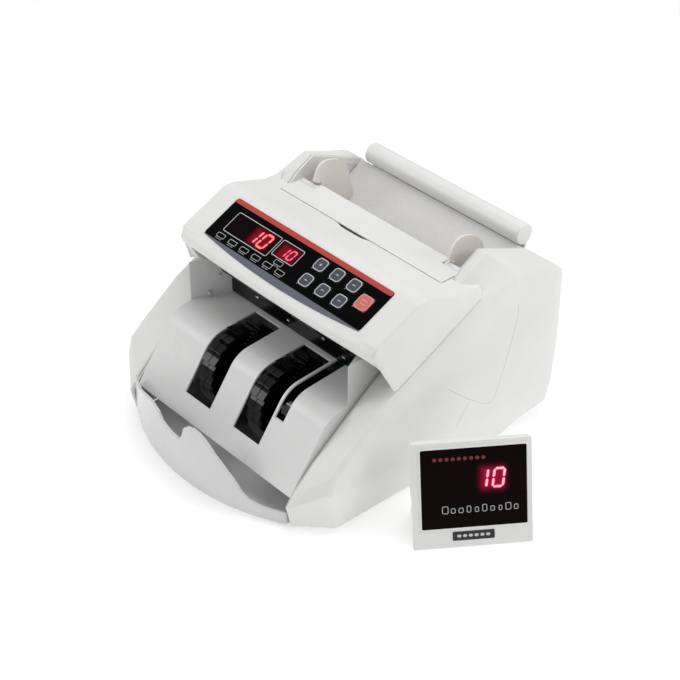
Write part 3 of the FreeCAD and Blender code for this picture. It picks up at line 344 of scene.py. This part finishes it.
def film(name, colour, rough):
    """Glossy printed film, faintly wavy, with fine handling marks."""
    look = Look(name)
    wave = look.noise(26, 2.0)
    marks = look.noise(9, 6.0, stretch=(1, 6, 1))
    look.set(Base_Color=look.blend(look.ramp(marks, 0.45, 0.8, 0, 1), colour, scaled(colour, 1.5)))
    look.set(Roughness=look.ramp(marks, 0.4, 0.75, rough, rough + 0.16))
    look.set(Normal=look.bump(wave, 0.06, 0.5), Specular_IOR_Level=0.05)
    return look.material


def ink(name, colour, rough=0.45):
    """Screen-printed ink with a slightly uneven cover."""
    look = Look(name)
    speck = look.noise(0.5, 3.0)
    look.set(Base_Color=look.blend(look.ramp(speck, 0.35, 0.65, 0, 1), scaled(colour, 0.9), colour))
    look.set(Roughness=look.ramp(speck, 0.3, 0.7, rough - 0.05, rough + 0.1))
    look.set(Normal=look.bump(speck, 0.004))
    return look.material


def glowing(name, core, strength, edge):
    """Lit segment: slightly uneven from the chip under its diffuser."""
    look = Look(name)
    patch = look.noise(2.4, 2.0)
    lit = look.blend(look.ramp(patch, 0.35, 0.65, 0, 1), edge, core)
    look.set(Base_Color=scaled(core, 0.5), Roughness=0.35, Emission_Color=lit, Emission_Strength=strength)
    return look.material


def turned_steel(name, colour, rough):
    """Turned and ground steel with fine rings across its length."""
    look = Look(name)
    ring = look.noise(0.35, 2.0, stretch=(1, 0.02, 0.02))
    patch = look.noise(14, 4.0)
    look.set(Base_Color=look.blend(look.ramp(patch, 0.3, 0.7, 0, 1), scaled(colour, 0.86), colour))
    look.set(Metallic=1.0, Roughness=look.ramp(patch, 0.3, 0.7, rough - 0.06, rough + 0.1))
    look.set(Normal=look.bump(ring, 0.01))
    return look.material


def rubber(name, colour):
    """Dull rubber with dust and a fine skin."""
    look = Look(name)
    dust = look.noise(7, 6.0)
    skin = look.noise(0.6, 4.0)
    look.set(Base_Color=look.blend(look.ramp(dust, 0.5, 0.8, 0, 0.5), colour, (0.16, 0.155, 0.15)))
    look.set(Roughness=look.ramp(dust, 0.3, 0.7, 0.6, 0.82), Normal=look.bump(skin, 0.03))
    return look.material


def circuit(name):
    """Solder mask over copper tracks."""
    look = Look(name)
    tracks = look.node("ShaderNodeTexVoronoi", {"Vector": look.place, "Scale": 260.0},
                       distance="MANHATTAN", feature="DISTANCE_TO_EDGE").outputs[0]
    line = look.ramp(tracks, 0.03, 0.06, 1, 0)
    look.set(Base_Color=look.blend(line, (0.012, 0.09, 0.035), (0.03, 0.2, 0.07)))
    look.set(Roughness=0.32, Normal=look.bump(line, 0.03))
    return look.material


SHELL = moulded("shell_white", (0.83, 0.83, 0.815), 0.42)
# Painted shade: the frame plates darken towards the front, to 0.82 of their colour at y -20 mm and below.
FRAME_GREY = moulded("frame_grey", (0.78, 0.775, 0.765), 0.5, fade=(-20, 20, 0.82, 1.0))
HOPPER_GREY = moulded("hopper_grey", (0.74, 0.735, 0.72), 0.48)
# Painted shade: the stacker guide darkens towards the back, to 0.8 of its colour at y -60 mm and beyond,
# under the panel's lip.
SHEET_WHITE = moulded("sheet_white", (0.78, 0.78, 0.775), 0.34, depth=0.006, fade=(-95, -60, 1.0, 0.8))
CREAM = moulded("guide_cream", (0.83, 0.79, 0.74), 0.4)
TRAY = moulded("tray_clear", (0.88, 0.88, 0.88), 0.2, depth=0.002, wear=0.0,
               Transmission_Weight=0.3, IOR=1.49)
BLACK = moulded("black_plastic", (0.018, 0.018, 0.019), 0.42, depth=0.02, wear=0.08)
KEY_GREY = moulded("key_grey", (0.070, 0.078, 0.092), 0.6, depth=0.006, Specular_IOR_Level=0.25)
KEY_RED = moulded("key_red", (0.66, 0.17, 0.15), 0.5, depth=0.006, Specular_IOR_Level=0.3)
OVERLAY = film("overlay_black", (0.0010, 0.0010, 0.0012), 0.3)
RED_BAND = ink("band_red", (0.52, 0.055, 0.04), 0.4)
CRESCENT = ink("crescent_grey", (0.13, 0.138, 0.17), 0.45)
PRINT_WHITE = ink("print_white", (0.66, 0.67, 0.69))
PRINT_GREY = ink("print_grey", (0.30, 0.30, 0.32))
PRINT_PINK = ink("print_pink", (0.72, 0.42, 0.41))
PRINT_ROSE = ink("print_rose", (0.80, 0.50, 0.48))
PRINT_RED = ink("print_red", (0.22, 0.012, 0.014))
VANE = moulded("vane_black", (0.004, 0.004, 0.0045), 0.24, grain=3.0, depth=0.01, wear=0.1,
               Specular_IOR_Level=0.3)
STEEL = turned_steel("steel", (0.62, 0.62, 0.63), 0.26)
ZINC = turned_steel("zinc_sheet", (0.55, 0.56, 0.57), 0.42)
RUBBER = rubber("black_rubber", (0.022, 0.022, 0.022))
BOARD = circuit("circuit_board")
LACQUER = moulded("black_lacquer", (0.03, 0.03, 0.032), 0.35, grain=1.2, depth=0.03)


def window_glass(name, plane, spots, colour, reach, strength):
    """Dark red filter that glows round the lit digits behind it."""
    look = Look(name)
    glow = None
    for u, w, half_u, half_w in spots:
        parts = []
        for axis, centre, half in ((plane.right, u, half_u), (plane.up, w, half_w)):
            start = plane.origin.dot(axis) + centre
            along = look.node("ShaderNodeVectorMath", {0: look.place, 1: tuple(axis)},
                              operation="DOT_PRODUCT")
            offset = look.maths("ABSOLUTE", look.maths("SUBTRACT", along.outputs["Value"], start * MM))
            parts.append(look.maths("MAXIMUM", look.maths("SUBTRACT", offset, half * MM), 0.0))
        gap = look.maths("POWER", look.maths("ADD", look.maths("POWER", parts[0], 2.0),
                                             look.maths("POWER", parts[1], 2.0)), 0.5)
        one = look.maths("POWER", look.ramp(gap, 0, reach * MM, 1, 0), 2.4)
        glow = one if glow is None else look.maths("MAXIMUM", glow, one)
    haze = look.noise(12, 3.0)
    look.set(Base_Color=look.blend(haze, (0.003, 0.001, 0.001), (0.006, 0.001, 0.002)), Roughness=0.28)
    look.set(Emission_Color=rgba(colour), Emission_Strength=look.maths("MULTIPLY", glow, strength))
    look.set(Specular_IOR_Level=0.05)
    return look.material


def assign(material, *names):
    for name in names:
        nodes[name].data.materials.clear()
        nodes[name].data.materials.append(material)


# ---------------------------------------------------------------- digits

SEGMENTS = {"0": "abcdef", "1": "bc"}


def digit(build, plane, left, low, wide, high, bar, slant, character, grow, lift, thick):
    """One seven-segment figure. left and low are its lower left corner on the plane."""
    half, middle = bar / 2 + grow, high / 2
    gap = bar * 0.12 - grow * 0.6

    def place(u, w):
        return (left + u + (w * math.tan(math.radians(slant))), low + w)

    def level(w, u0, u1):
        return [(u0 + gap, w), (u0 + gap + half, w + half), (u1 - gap - half, w + half), (u1 - gap, w),
                (u1 - gap - half, w - half), (u0 + gap + half, w - half)]

    def upright(u, w0, w1):
        return [(u, w0 + gap), (u + half, w0 + gap + half), (u + half, w1 - gap - half), (u, w1 - gap),
                (u - half, w1 - gap - half), (u - half, w0 + gap + half)]

    shapes = {
        "a": level(high - bar / 2, bar / 2, wide - bar / 2), "d": level(bar / 2, bar / 2, wide - bar / 2),
        "g": level(middle, bar / 2, wide - bar / 2),
        "b": upright(wide - bar / 2, middle, high - bar / 2), "c": upright(wide - bar / 2, bar / 2, middle),
        "f": upright(bar / 2, middle, high - bar / 2), "e": upright(bar / 2, bar / 2, middle),
    }
    for key in SEGMENTS[character]:
        outline = [place(u, w) for u, w in shapes[key]]
        build.tile(plane, outline, lift, lift + thick)


def number_ten(name, plane, body, places, low, wide, high, bar, slant, top, core, halo):
    """The figures 1 and 0, each a bright core over a wider dim edge."""
    for label, grow, lift, material in (("halo", bar * 0.22, 0.02, halo), ("core", -bar * 0.1, 0.06, core)):
        build = Build()
        for left, character in places:
            digit(build, plane, left, low, wide, high, bar, slant, character, grow, top + lift, 0.03)
        build.done(f"{name}_{label}", body, material, smooth=False)


# ---------------------------------------------------------------- shells and moulded pieces

def lip_roll(half=113.5, steps=34):
    """The rounded roll under the panel, bowed forward in the middle."""
    build = Build()
    rings = []
    for step in range(steps + 1):
        across = -1 + 2 * step / steps
        bow = 5.0 * (1 - across ** 2)
        corners = ((-46, 145.0), (-57.5 - bow * 1.1, 140.0), (-62 - bow * 0.9, 129.5), (-53.5, 126.6))
        ring = []
        for part in range(13):
            t = part / 12
            share = ((1 - t) ** 3, 3 * t * (1 - t) ** 2, 3 * t * t * (1 - t), t ** 3)
            ring.append(Vector((across * half, sum(s * c[0] for s, c in zip(share, corners)),
                                sum(s * c[1] for s, c in zip(share, corners)))) * MM)
        ring.append(Vector((across * half, -50.0, 128.0)) * MM)
        rings.append(ring)
    build.solid(rings)
    return build.done("lip_roll", "machine", SHELL)


def make_shells():
    for side, hand in (("left", -1), ("right", 1)):
        cover = softened(f"side_cover_{side}", f"cover_{side}_shell", SHELL, 0.9, 7, 0.22)
        make_seam_lines(side, hand, cover)
    softened("control_housing", "housing_shell", SHELL, 0.85, 6, 0.22, extra=[lip_roll()])
    softened("hopper_grip_bar", "grip_bar", GRIP, 0.7, 4, 0.3)
    softened("front_note_tray", "note_tray", TRAY, 0.6, 5, 0.25)
    assign(SHELL, "access_flap", "rear_cover", "display_bezel", "display_rear_shell", "display_leg")
    ease(nodes["access_flap"], 0.7)
    ease(nodes["rear_cover"], 0.5, 2)
    ease(nodes["display_bezel"], 1.3)
    ease(nodes["display_rear_shell"], 1.2)
    ease(nodes["display_leg"], 0.7)
    assign(FRAME_GREY, "frame_plate_left", "frame_plate_right")
    assign(HOPPER_GREY, "hopper_plate")
    assign(SHEET_WHITE, "stacker_guide")
    assign(CREAM, "note_guide_left", "note_guide_right")
    for name in ("note_guide_left", "note_guide_right"):
        ease(nodes[name], 0.9)
    for name in ("frame_plate_left", "frame_plate_right", "hopper_plate", "stacker_guide"):
        ease(nodes[name], 0.5, 2)


WHEEL_CENTRE = (-62, 50)
WHEEL_MIDDLE = 30
WHEEL_HALF = 12
VANES = 22
VANE_ROOT = 8.2
VANE_TIP = 37.9
VANE_SWEEP = 118
VANE_HALF_THICK = 0.32
VANE_STEPS = 14
VANE_ROWS = ((0, 7.0), (7.8, 15))
HUB_RADIUS = 9.0
FLANGE_RADIUS = 11.5
FLANGE = 1.6


def make_vane_wheel(side, middle):
    """Hub with thin nested vanes that sweep round to the rim, in two rows at its left side."""
    build = Build()
    low, high = middle - WHEEL_HALF, middle + WHEEL_HALF

    def ring(points, x):
        return [Vector((x, WHEEL_CENTRE[0] + y, WHEEL_CENTRE[1] + z)) * MM for y, z in points]

    for vane in range(VANES):
        start = 2 * math.pi * vane / VANES
        front, back = [], []
        for step in range(VANE_STEPS + 1):
            way = step / VANE_STEPS
            radius = VANE_ROOT + (VANE_TIP - VANE_ROOT) * way ** 0.8
            angle = start + math.radians(VANE_SWEEP * way ** 1.2)
            for line, push in ((front, VANE_HALF_THICK), (back, -VANE_HALF_THICK)):
                turn = angle + push / radius * (0.55 if step == VANE_STEPS else 1)
                line.append((radius * math.cos(turn), radius * math.sin(turn)))
        outline = front + back[::-1]
        for row_start, row_end in VANE_ROWS:
            build.solid([ring(outline, low + row_start), ring(outline, low + row_end)])
    for x, thick, radius in ((low, high - low, HUB_RADIUS), (low, FLANGE, FLANGE_RADIUS),
                             (high - FLANGE, FLANGE, FLANGE_RADIUS)):
        build.rod((x, *WHEEL_CENTRE), (x + thick, *WHEEL_CENTRE), radius, 36)
    node = f"stacker_wheel_{side}"
    wheel = build.done(f"vane_wheel_{side}", nodes[node]["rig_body"], VANE, smooth=False)
    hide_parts(node)


def make_wing_liners():
    """White strip along the top of each frame plate, beside the hopper."""
    top = [(34, 145), (50, 158.3), (67, 168.2), (119, 147.3), (127, 140.5)]
    foot = [(123.4, 139.4), (101.6, 148.1), (66.8, 153.7), (57.6, 149.2), (40, 141)]
    for side, low in (("left", -96.05), ("right", 95.45)):
        build = Build()
        build.solid([[Vector((x, y, z)) * MM for y, z in top + foot] for x in (low, low + 0.6)])
        build.done(f"wing_liner_{side}", "machine", SHELL, smooth=False)


def make_inside():
    make_wing_liners()
    make_vane_wheel("left", -WHEEL_MIDDLE)
    make_vane_wheel("right", WHEEL_MIDDLE)
    assign(VANE, "sensor_bridge")
    assign(BLACK, "shaft_bushings", "retard_pad",
           "gap_adjust_screw", "magnetic_head", "power_inlet", "switch_frame", "power_rocker", "display_port")
    assign(STEEL, "guide_rail", "stacker_shaft", "feed_shaft", "counting_shaft", "pickup_shaft",
           "cover_screws", "motor_pulley", "feed_path_plate")
    assign(RUBBER, "feed_rollers", "counting_rollers", "pickup_rollers", "pinch_rollers", "drive_belts",
           "rubber_feet")
    assign(LACQUER, "motor", "transformer", "digit_modules", "display_digits")
    assign(BOARD, "control_board", "main_board", "display_board")
    assign(ZINC, "base_pan")
    assign(LAMP, "ultraviolet_lamp")
    assign(OVERLAY, "panel_overlay")
    assign(KEY_GREY, "key_plus", "key_minus", "key_batch", "key_add", "key_ultraviolet", "key_magnetic")
    assign(KEY_RED, "key_reset")
    for name, width in (("sensor_bridge", 1.2), ("power_inlet", 0.5), ("switch_frame", 0.4),
                        ("power_rocker", 0.5), ("display_port", 0.4), ("rubber_feet", 0.8),
                        ("cover_screws", 0.3),
                        ("retard_pad", 0.5), ("motor", 1.0), ("transformer", 0.8), ("key_plus", 0.5),
                        ("key_minus", 0.5), ("key_batch", 0.5), ("key_add", 0.5), ("key_ultraviolet", 0.5),
                        ("key_magnetic", 0.5), ("key_reset", 0.5)):
        ease(nodes[name], width, 2)


# ---------------------------------------------------------------- control panel

BIG_DIGITS = ((-55.6, "1"), (-43.6, "0"))
SMALL_DIGITS = ((-19.0, "1"), (-11.0, "0"))
KEY_TOP = 1.4
KEYS = (("key_plus", 21, 15.8), ("key_minus", 21, 32.4), ("key_batch", 40, 15.8), ("key_add", 40, 32.4),
        ("key_ultraviolet", 59, 15.8), ("key_magnetic", 59, 32.4))
RESET_KEY = (77, 23.3)
INDICATORS = ((-76, 38.5), (-61.5, 38.5), (-47.1, 38.5), (-32.6, 38.5), (-18.5, 38.5), (-3.9, 38.5),
              (-11.7, 32.5))


def outline_frame(build, plane, centre_u, centre_w, wide, high, radius, line, lift, thick):
    outer = rounded_box(centre_u, centre_w, wide, high, radius)
    inner = rounded_box(centre_u, centre_w, wide - 2 * line, high - 2 * line, radius - line)
    build.frame(plane, outer, inner, lift, lift + thick)


def marks(build, plane, centre_u, centre_w, wide, high, lift, count=1, share=0.55):
    """A row of short bars in the place of a printed word."""
    step = wide / count
    for index in range(count):
        middle = centre_u - wide / 2 + step * (index + 0.5)
        build.tile(plane, rounded_box(middle, centre_w, step * share, high, high / 2.2, 3), lift, lift + 0.04)


def make_panel_print():
    top = OVERLAY_LIFT
    band = Build()
    band.tile(PANEL, rounded_box(0, -5.75, 183.2, 4.4, 1.8), top - 0.02, top + 0.05)
    band.done("panel_red_band", "machine", RED_BAND, smooth=False)

    crescent = Build()
    edge = [(x, -43.9 - 6.2 * (1 - (x / 92) ** 2)) for x in range(-92, 93, 4)]
    crescent.tile(PANEL, [(-92, -43.3)] + edge + [(92, -43.3)], -0.6, 0.55)
    crescent.done("panel_grey_edge", "machine", CRESCENT, smooth=False)

    lines = Build()
    for centre_u, centre_w, wide, high in ((-52.9, -23.5, 53.2, 20.6), (-11.9, -21.3, 25.4, 16.0)):
        outline_frame(lines, PANEL, centre_u, centre_w, wide, high, 1.8, 0.55, top, 0.05)
    for centre_u, down in INDICATORS:
        outline_frame(lines, PANEL, centre_u, -down, 9, 4.2, 0.9, 0.35, top, 0.05)
    lines.done("panel_outlines", "machine", PRINT_WHITE, smooth=False)

    labels = Build()
    for (centre_u, down), count in zip(INDICATORS, (3, 2, 4, 3, 2, 4, 2)):
        marks(labels, PANEL, centre_u, -down - 3.4, 7.5, 0.7, top, count, 0.8)
    labels.done("panel_labels", "machine", PRINT_GREY, smooth=False)

    windows = nodes["display_windows"]
    windows.data.materials.clear()
    windows.data.materials.append(window_glass("count_window_glass", PANEL, (
        (-46.5, -23.5, 4.0, 5.5), (-38.5, -23.5, 3.0, 5.5), (-11.5, -22.3, 7.0, 4.6)),
        (1.0, 0.012, 0.06), 7, 0.2))

    number_ten("count", PANEL, "machine", BIG_DIGITS, -31, 9.6, 15, 1.9, 8, top, LIT_ORANGE, LIT_RED)
    number_ten("batch", PANEL, "machine", SMALL_DIGITS, -27, 6.2, 10, 1.25, 8, top, LIT_ROSE, LIT_RED)


def make_keys():
    for index, (name, centre_u, down) in enumerate(KEYS):
        ring = Build()
        outline_frame(ring, PANEL, centre_u, -down, 11.1, 11.1, 3.2, 0.68, KEY_TOP - 0.02, 0.05)
        ring.done(f"{name}_ring", f"{name}_cap", PRINT_WHITE, smooth=False)
        glyph = Build()
        if index == 0:
            glyph.tile(PANEL, rounded_box(centre_u, -down, 0.7, 2.6, 0.2, 2), KEY_TOP, KEY_TOP + 0.04)
        if index < 2:
            glyph.tile(PANEL, rounded_box(centre_u, -down, 2.6, 0.7, 0.2, 2), KEY_TOP, KEY_TOP + 0.05)
        else:
            marks(glyph, PANEL, centre_u, -down, 3.6, 1.0, KEY_TOP, 2 + index % 2, 0.66)
        glyph.done(f"{name}_glyph", f"{name}_cap", PRINT_WHITE, smooth=False)
    centre_u, down = RESET_KEY
    ring = Build()
    outline_frame(ring, PANEL, centre_u, -down, 13.0, 13.0, 3.8, 0.6, KEY_TOP - 0.02, 0.05)
    ring.done("key_reset_ring", "key_reset_cap", PRINT_PINK, smooth=False)
    glyph = Build()
    marks(glyph, PANEL, centre_u, -down + 1.6, 6.4, 0.9, KEY_TOP, 3, 0.66)
    marks(glyph, PANEL, centre_u, -down - 1.6, 5.0, 0.9, KEY_TOP, 2, 0.66)
    glyph.done("key_reset_glyph", "key_reset_cap", PRINT_ROSE, smooth=False)


# ---------------------------------------------------------------- customer display

def make_display():
    lens = nodes["display_lens"]
    lens.data.materials.clear()
    lens.data.materials.append(window_glass("display_lens_glass", DISPLAY, ((60.5, 53.0, 7.0, 6.5),),
                                            (1.0, 0.015, 0.12), 7, 0.26))
    front = -0.6
    number_ten("display", DISPLAY, "customer_display", ((46.6, "1"), (59.0, "0")), 45, 9.6, 16, 2.0, 8, front,
               LIT_PINK, LIT_RED)
    title = Build()
    marks(title, DISPLAY, 35.5, 69.4, 41, 2.8, front, 9, 0.66)
    title.done("display_title_marks", "customer_display", PRINT_RED, smooth=False)
    script = Build()
    for index, (wide, high) in enumerate(((4.6, 5.8), (3.4, 4.0), (3.6, 4.0), (3.2, 5.2), (3.0, 4.0),
                                          (3.6, 5.6), (3.2, 4.0), (2.6, 4.0), (4.2, 5.6), (3.2, 4.0))):
        outline_frame(script, DISPLAY, 24.5 + index * 5.9, 27.2 + high / 2, wide, high, 1.1, 0.42,
                      front, 0.05)
    script.done("display_script_marks", "customer_display", PRINT_WHITE, smooth=False)
    label = Build()
    label.tile(DISPLAY, rounded_box(45.2, 9.5, 31.5, 7, 0.8), -0.05, 0.25)
    label.done("display_label", "customer_display", BLACK, smooth=False)
    bars = Build()
    marks(bars, DISPLAY, 45.2, 9.5, 26, 2.2, 0.24, 6, 0.7)
    bars.done("display_label_marks", "customer_display", PRINT_WHITE, smooth=False)
    edge = Build()
    edge.frame(DISPLAY, rounded_box(46.25, 46.8, 82.3, 64.8, 2.4),
               rounded_box(46.25, 46.8, 79.3, 61.8, 1.4), -0.05, 0.28)
    edge.done("display_bezel_lip", "customer_display", SHELL)


# ---------------------------------------------------------------- hopper and stacker details

HOPPER_LOW = (56, 102.7)
HOPPER_TOP = (120.9, 145.9)


def hopper_height(y):
    run = HOPPER_TOP[0] - HOPPER_LOW[0]
    return HOPPER_LOW[1] + (y - HOPPER_LOW[0]) * (HOPPER_TOP[1] - HOPPER_LOW[1]) / run


def make_hopper_ribs():
    """Fine ribs down the hopper plate that let the notes slide."""
    build = Build()
    rise = math.atan2(HOPPER_TOP[1] - HOPPER_LOW[1], HOPPER_TOP[0] - HOPPER_LOW[0])
    normal = Vector((0, -math.sin(rise), math.cos(rise)))
    x = -94.0
    while x <= 94.0:
        spans = [(57.0, 119.5)]
        if 14 <= abs(x) <= 40:
            spans = [(79.5, 119.5)]
        if 47 <= abs(x) <= 94:
            spans = [(57.0, 78.0), (90.0, 119.5)]
        for start, end in spans:
            rings = []
            for y in (start, end):
                foot = Vector((x, y, hopper_height(y)))
                rings.append([(foot + Vector((side, 0, 0)) + normal * up) * MM
                              for side, up in ((-0.45, -0.2), (0.45, -0.2), (0.25, 0.2), (-0.25, 0.2))])
            build.solid(rings)
        x += 1.8
    build.done("hopper_ribs", "machine", HOPPER_GREY, smooth=False)


SEAM_LINES = (((82, 127), (82.5, 118), (75, 88), (63, 53), (60.5, 48), (57, 46), (49, 48),
               (27.5, 65), (7, 84)),
              ((33, 58), (18, 39)))


def make_seam_lines(side, hand, cover):
    """Thin dark strips laid on the side cover's curved face, in place of its moulded lines: painted shade for
    the shadow in those lines.
    """
    build = Build()
    for line in SEAM_LINES:
        points = []
        for (y0, z0), (y1, z1) in zip(line, line[1:]):
            for step in range(8):
                y, z = y0 + (y1 - y0) * step / 8, z0 + (z1 - z0) * step / 8
                hit, place, _, _ = cover.ray_cast(Vector((hand * 200, y, z)) * MM, Vector((-hand, 0, 0)))
                if hit:
                    points.append(place - Vector((hand * 0.16, 0, 0)) * MM)
        rings = []
        for index, middle in enumerate(points):
            before, after = points[max(index - 1, 0)], points[min(index + 1, len(points) - 1)]
            way = (after - before).normalized()
            across = way.cross(Vector((1, 0, 0))).normalized()
            lift = across.cross(way)
            rings.append([middle + (across * math.cos(turn) + lift * math.sin(turn)) * 0.26 * MM
                          for turn in (math.radians(60 * part) for part in range(6))])
        build.solid(rings)
    build.done(f"seam_lines_{side}", "machine", SEAM)


def make_flap_gap():
    """Dark strip that stands for the shadow between the access flap and the housing."""
    gap = Build()
    gap.block((-93.6, 30.45, 150.4), (93.6, 30.95, 151.5))
    gap.done("flap_gap_line", "machine", VANE, smooth=False)


def make_stacker_details():
    make_flap_gap()
    studs = Build()
    studs.rod((-88.6, -50.5, 88.5), (-86.4, -51.6, 88.9), 1.7, 16)
    studs.rod((-84.6, -42.0, 104.0), (-82.9, -43.0, 104.4), 1.1, 16)
    studs.done("wall_studs", "machine", SHEET_WHITE)
    clips = Build()
    for x, z in ((-46, 97.0), (-8, 94.0), (34, 98.5), (58, 93.5)):
        clips.block((x - 1.6, -35.0, z), (x + 1.6, -34.0, z + 1.6))
    ease(clips.done("apron_clips", "machine", STEEL), 0.3, 2)
    sensor = Build()
    sensor.block((49.0, -90.0, 64.0), (56.6, -82.0, 71.0))
    ease(sensor.done("sensor_holder", "machine", BLACK), 0.4, 2)
    clip = Build()
    clip.block((50.4, -85.8, 70.8), (56.0, -81.6, 72.6))
    ease(clip.done("sensor_clip", "machine", STEEL), 0.3, 2)


# ---------------------------------------------------------------- stage

def area_light(name, place, target, size, energy, colour=(1, 1, 1)):
    data = bpy.data.lights.new(name, "AREA")
    data.shape, data.size, data.energy, data.color = "DISK", size, energy, colour
    lamp = bpy.data.objects.new(name, data)
    bpy.context.scene.collection.objects.link(lamp)
    lamp.location = place
    lamp.rotation_euler = (Vector(target) - Vector(place)).to_track_quat("-Z", "Y").to_euler()


CAMERA_PLACE = (0.88973, -0.76936, 0.88402)
CAMERA_AZIMUTH = 48.69
CAMERA_ELEVATION = 34.86
CAMERA_LENS = 94.65
SENSOR_WIDTH = 36


def make_stage():
    look = Look("studio_floor")
    cloud = look.noise(400, 2.0)
    look.set(Base_Color=look.blend(cloud, (0.86, 0.86, 0.86), (0.88, 0.88, 0.88)), Roughness=0.7)
    look.set(Emission_Color=(1, 1, 1), Emission_Strength=0.34)
    build = Build()
    build.block((-4000, -4000, -12), (4000, 4000, 0))
    mesh = bpy.data.meshes.new("studio_floor")
    build.mesh.to_mesh(mesh)
    floor = bpy.data.objects.new("studio_floor", mesh)
    bpy.context.scene.collection.objects.link(floor)
    mesh.materials.append(look.material)

    world = bpy.data.worlds.new("studio")
    bpy.context.scene.world = world
    world.use_nodes = True
    world.node_tree.nodes["Background"].inputs["Color"].default_value = (1, 1, 1, 1)
    world.node_tree.nodes["Background"].inputs["Strength"].default_value = 0.44
    area_light("overhead", (0.05, 0.25, 1.3), (0, 0, 0.1), 1.1, 7)
    area_light("rear_right", (1.5, 0.9, 0.9), (0, 0, 0.1), 0.9, 6)
    area_light("front_left", (-1.1, -1.2, 1.0), (0, 0, 0.08), 0.8, 6)

    data = bpy.data.cameras.new("camera")
    data.lens, data.sensor_width = CAMERA_LENS, SENSOR_WIDTH
    camera = bpy.data.objects.new("camera", data)
    bpy.context.scene.collection.objects.link(camera)
    camera.location = CAMERA_PLACE
    turn, lift = math.radians(CAMERA_AZIMUTH), math.radians(CAMERA_ELEVATION)
    back = Vector((math.sin(turn) * math.cos(lift), -math.cos(turn) * math.cos(lift), math.sin(lift)))
    camera.rotation_euler = (-back).to_track_quat("-Z", "Y").to_euler()
    bpy.context.scene.camera = camera
    bpy.context.scene.view_settings.view_transform = "Standard"


# Painted shade: the dark colour of the seam lines stands for the shadow in the side covers' moulded lines.
SEAM = moulded("seam_shadow", (0.52, 0.52, 0.51), 0.5)
GRIP = moulded("grip_white", (0.84, 0.84, 0.83), 0.36)
LAMP = moulded("lamp_violet", (0.06, 0.02, 0.16), 0.12, depth=0.002, wear=0.0, Coat_Weight=0.6)
LIT_ORANGE = glowing("lit_orange", (0.90, 0.26, 0.24), 1.0, (0.80, 0.12, 0.11))
LIT_PINK = glowing("lit_pink", (0.95, 0.45, 0.62), 1.0, (0.90, 0.26, 0.42))
LIT_ROSE = glowing("lit_rose", (0.80, 0.14, 0.30), 1.0, (0.72, 0.08, 0.20))
LIT_RED = glowing("lit_red", (0.62, 0.03, 0.04), 0.8, (0.45, 0.01, 0.03))

make_shells()
make_inside()
make_panel_print()
make_keys()
make_display()
make_hopper_ribs()
make_stacker_details()
make_stage()
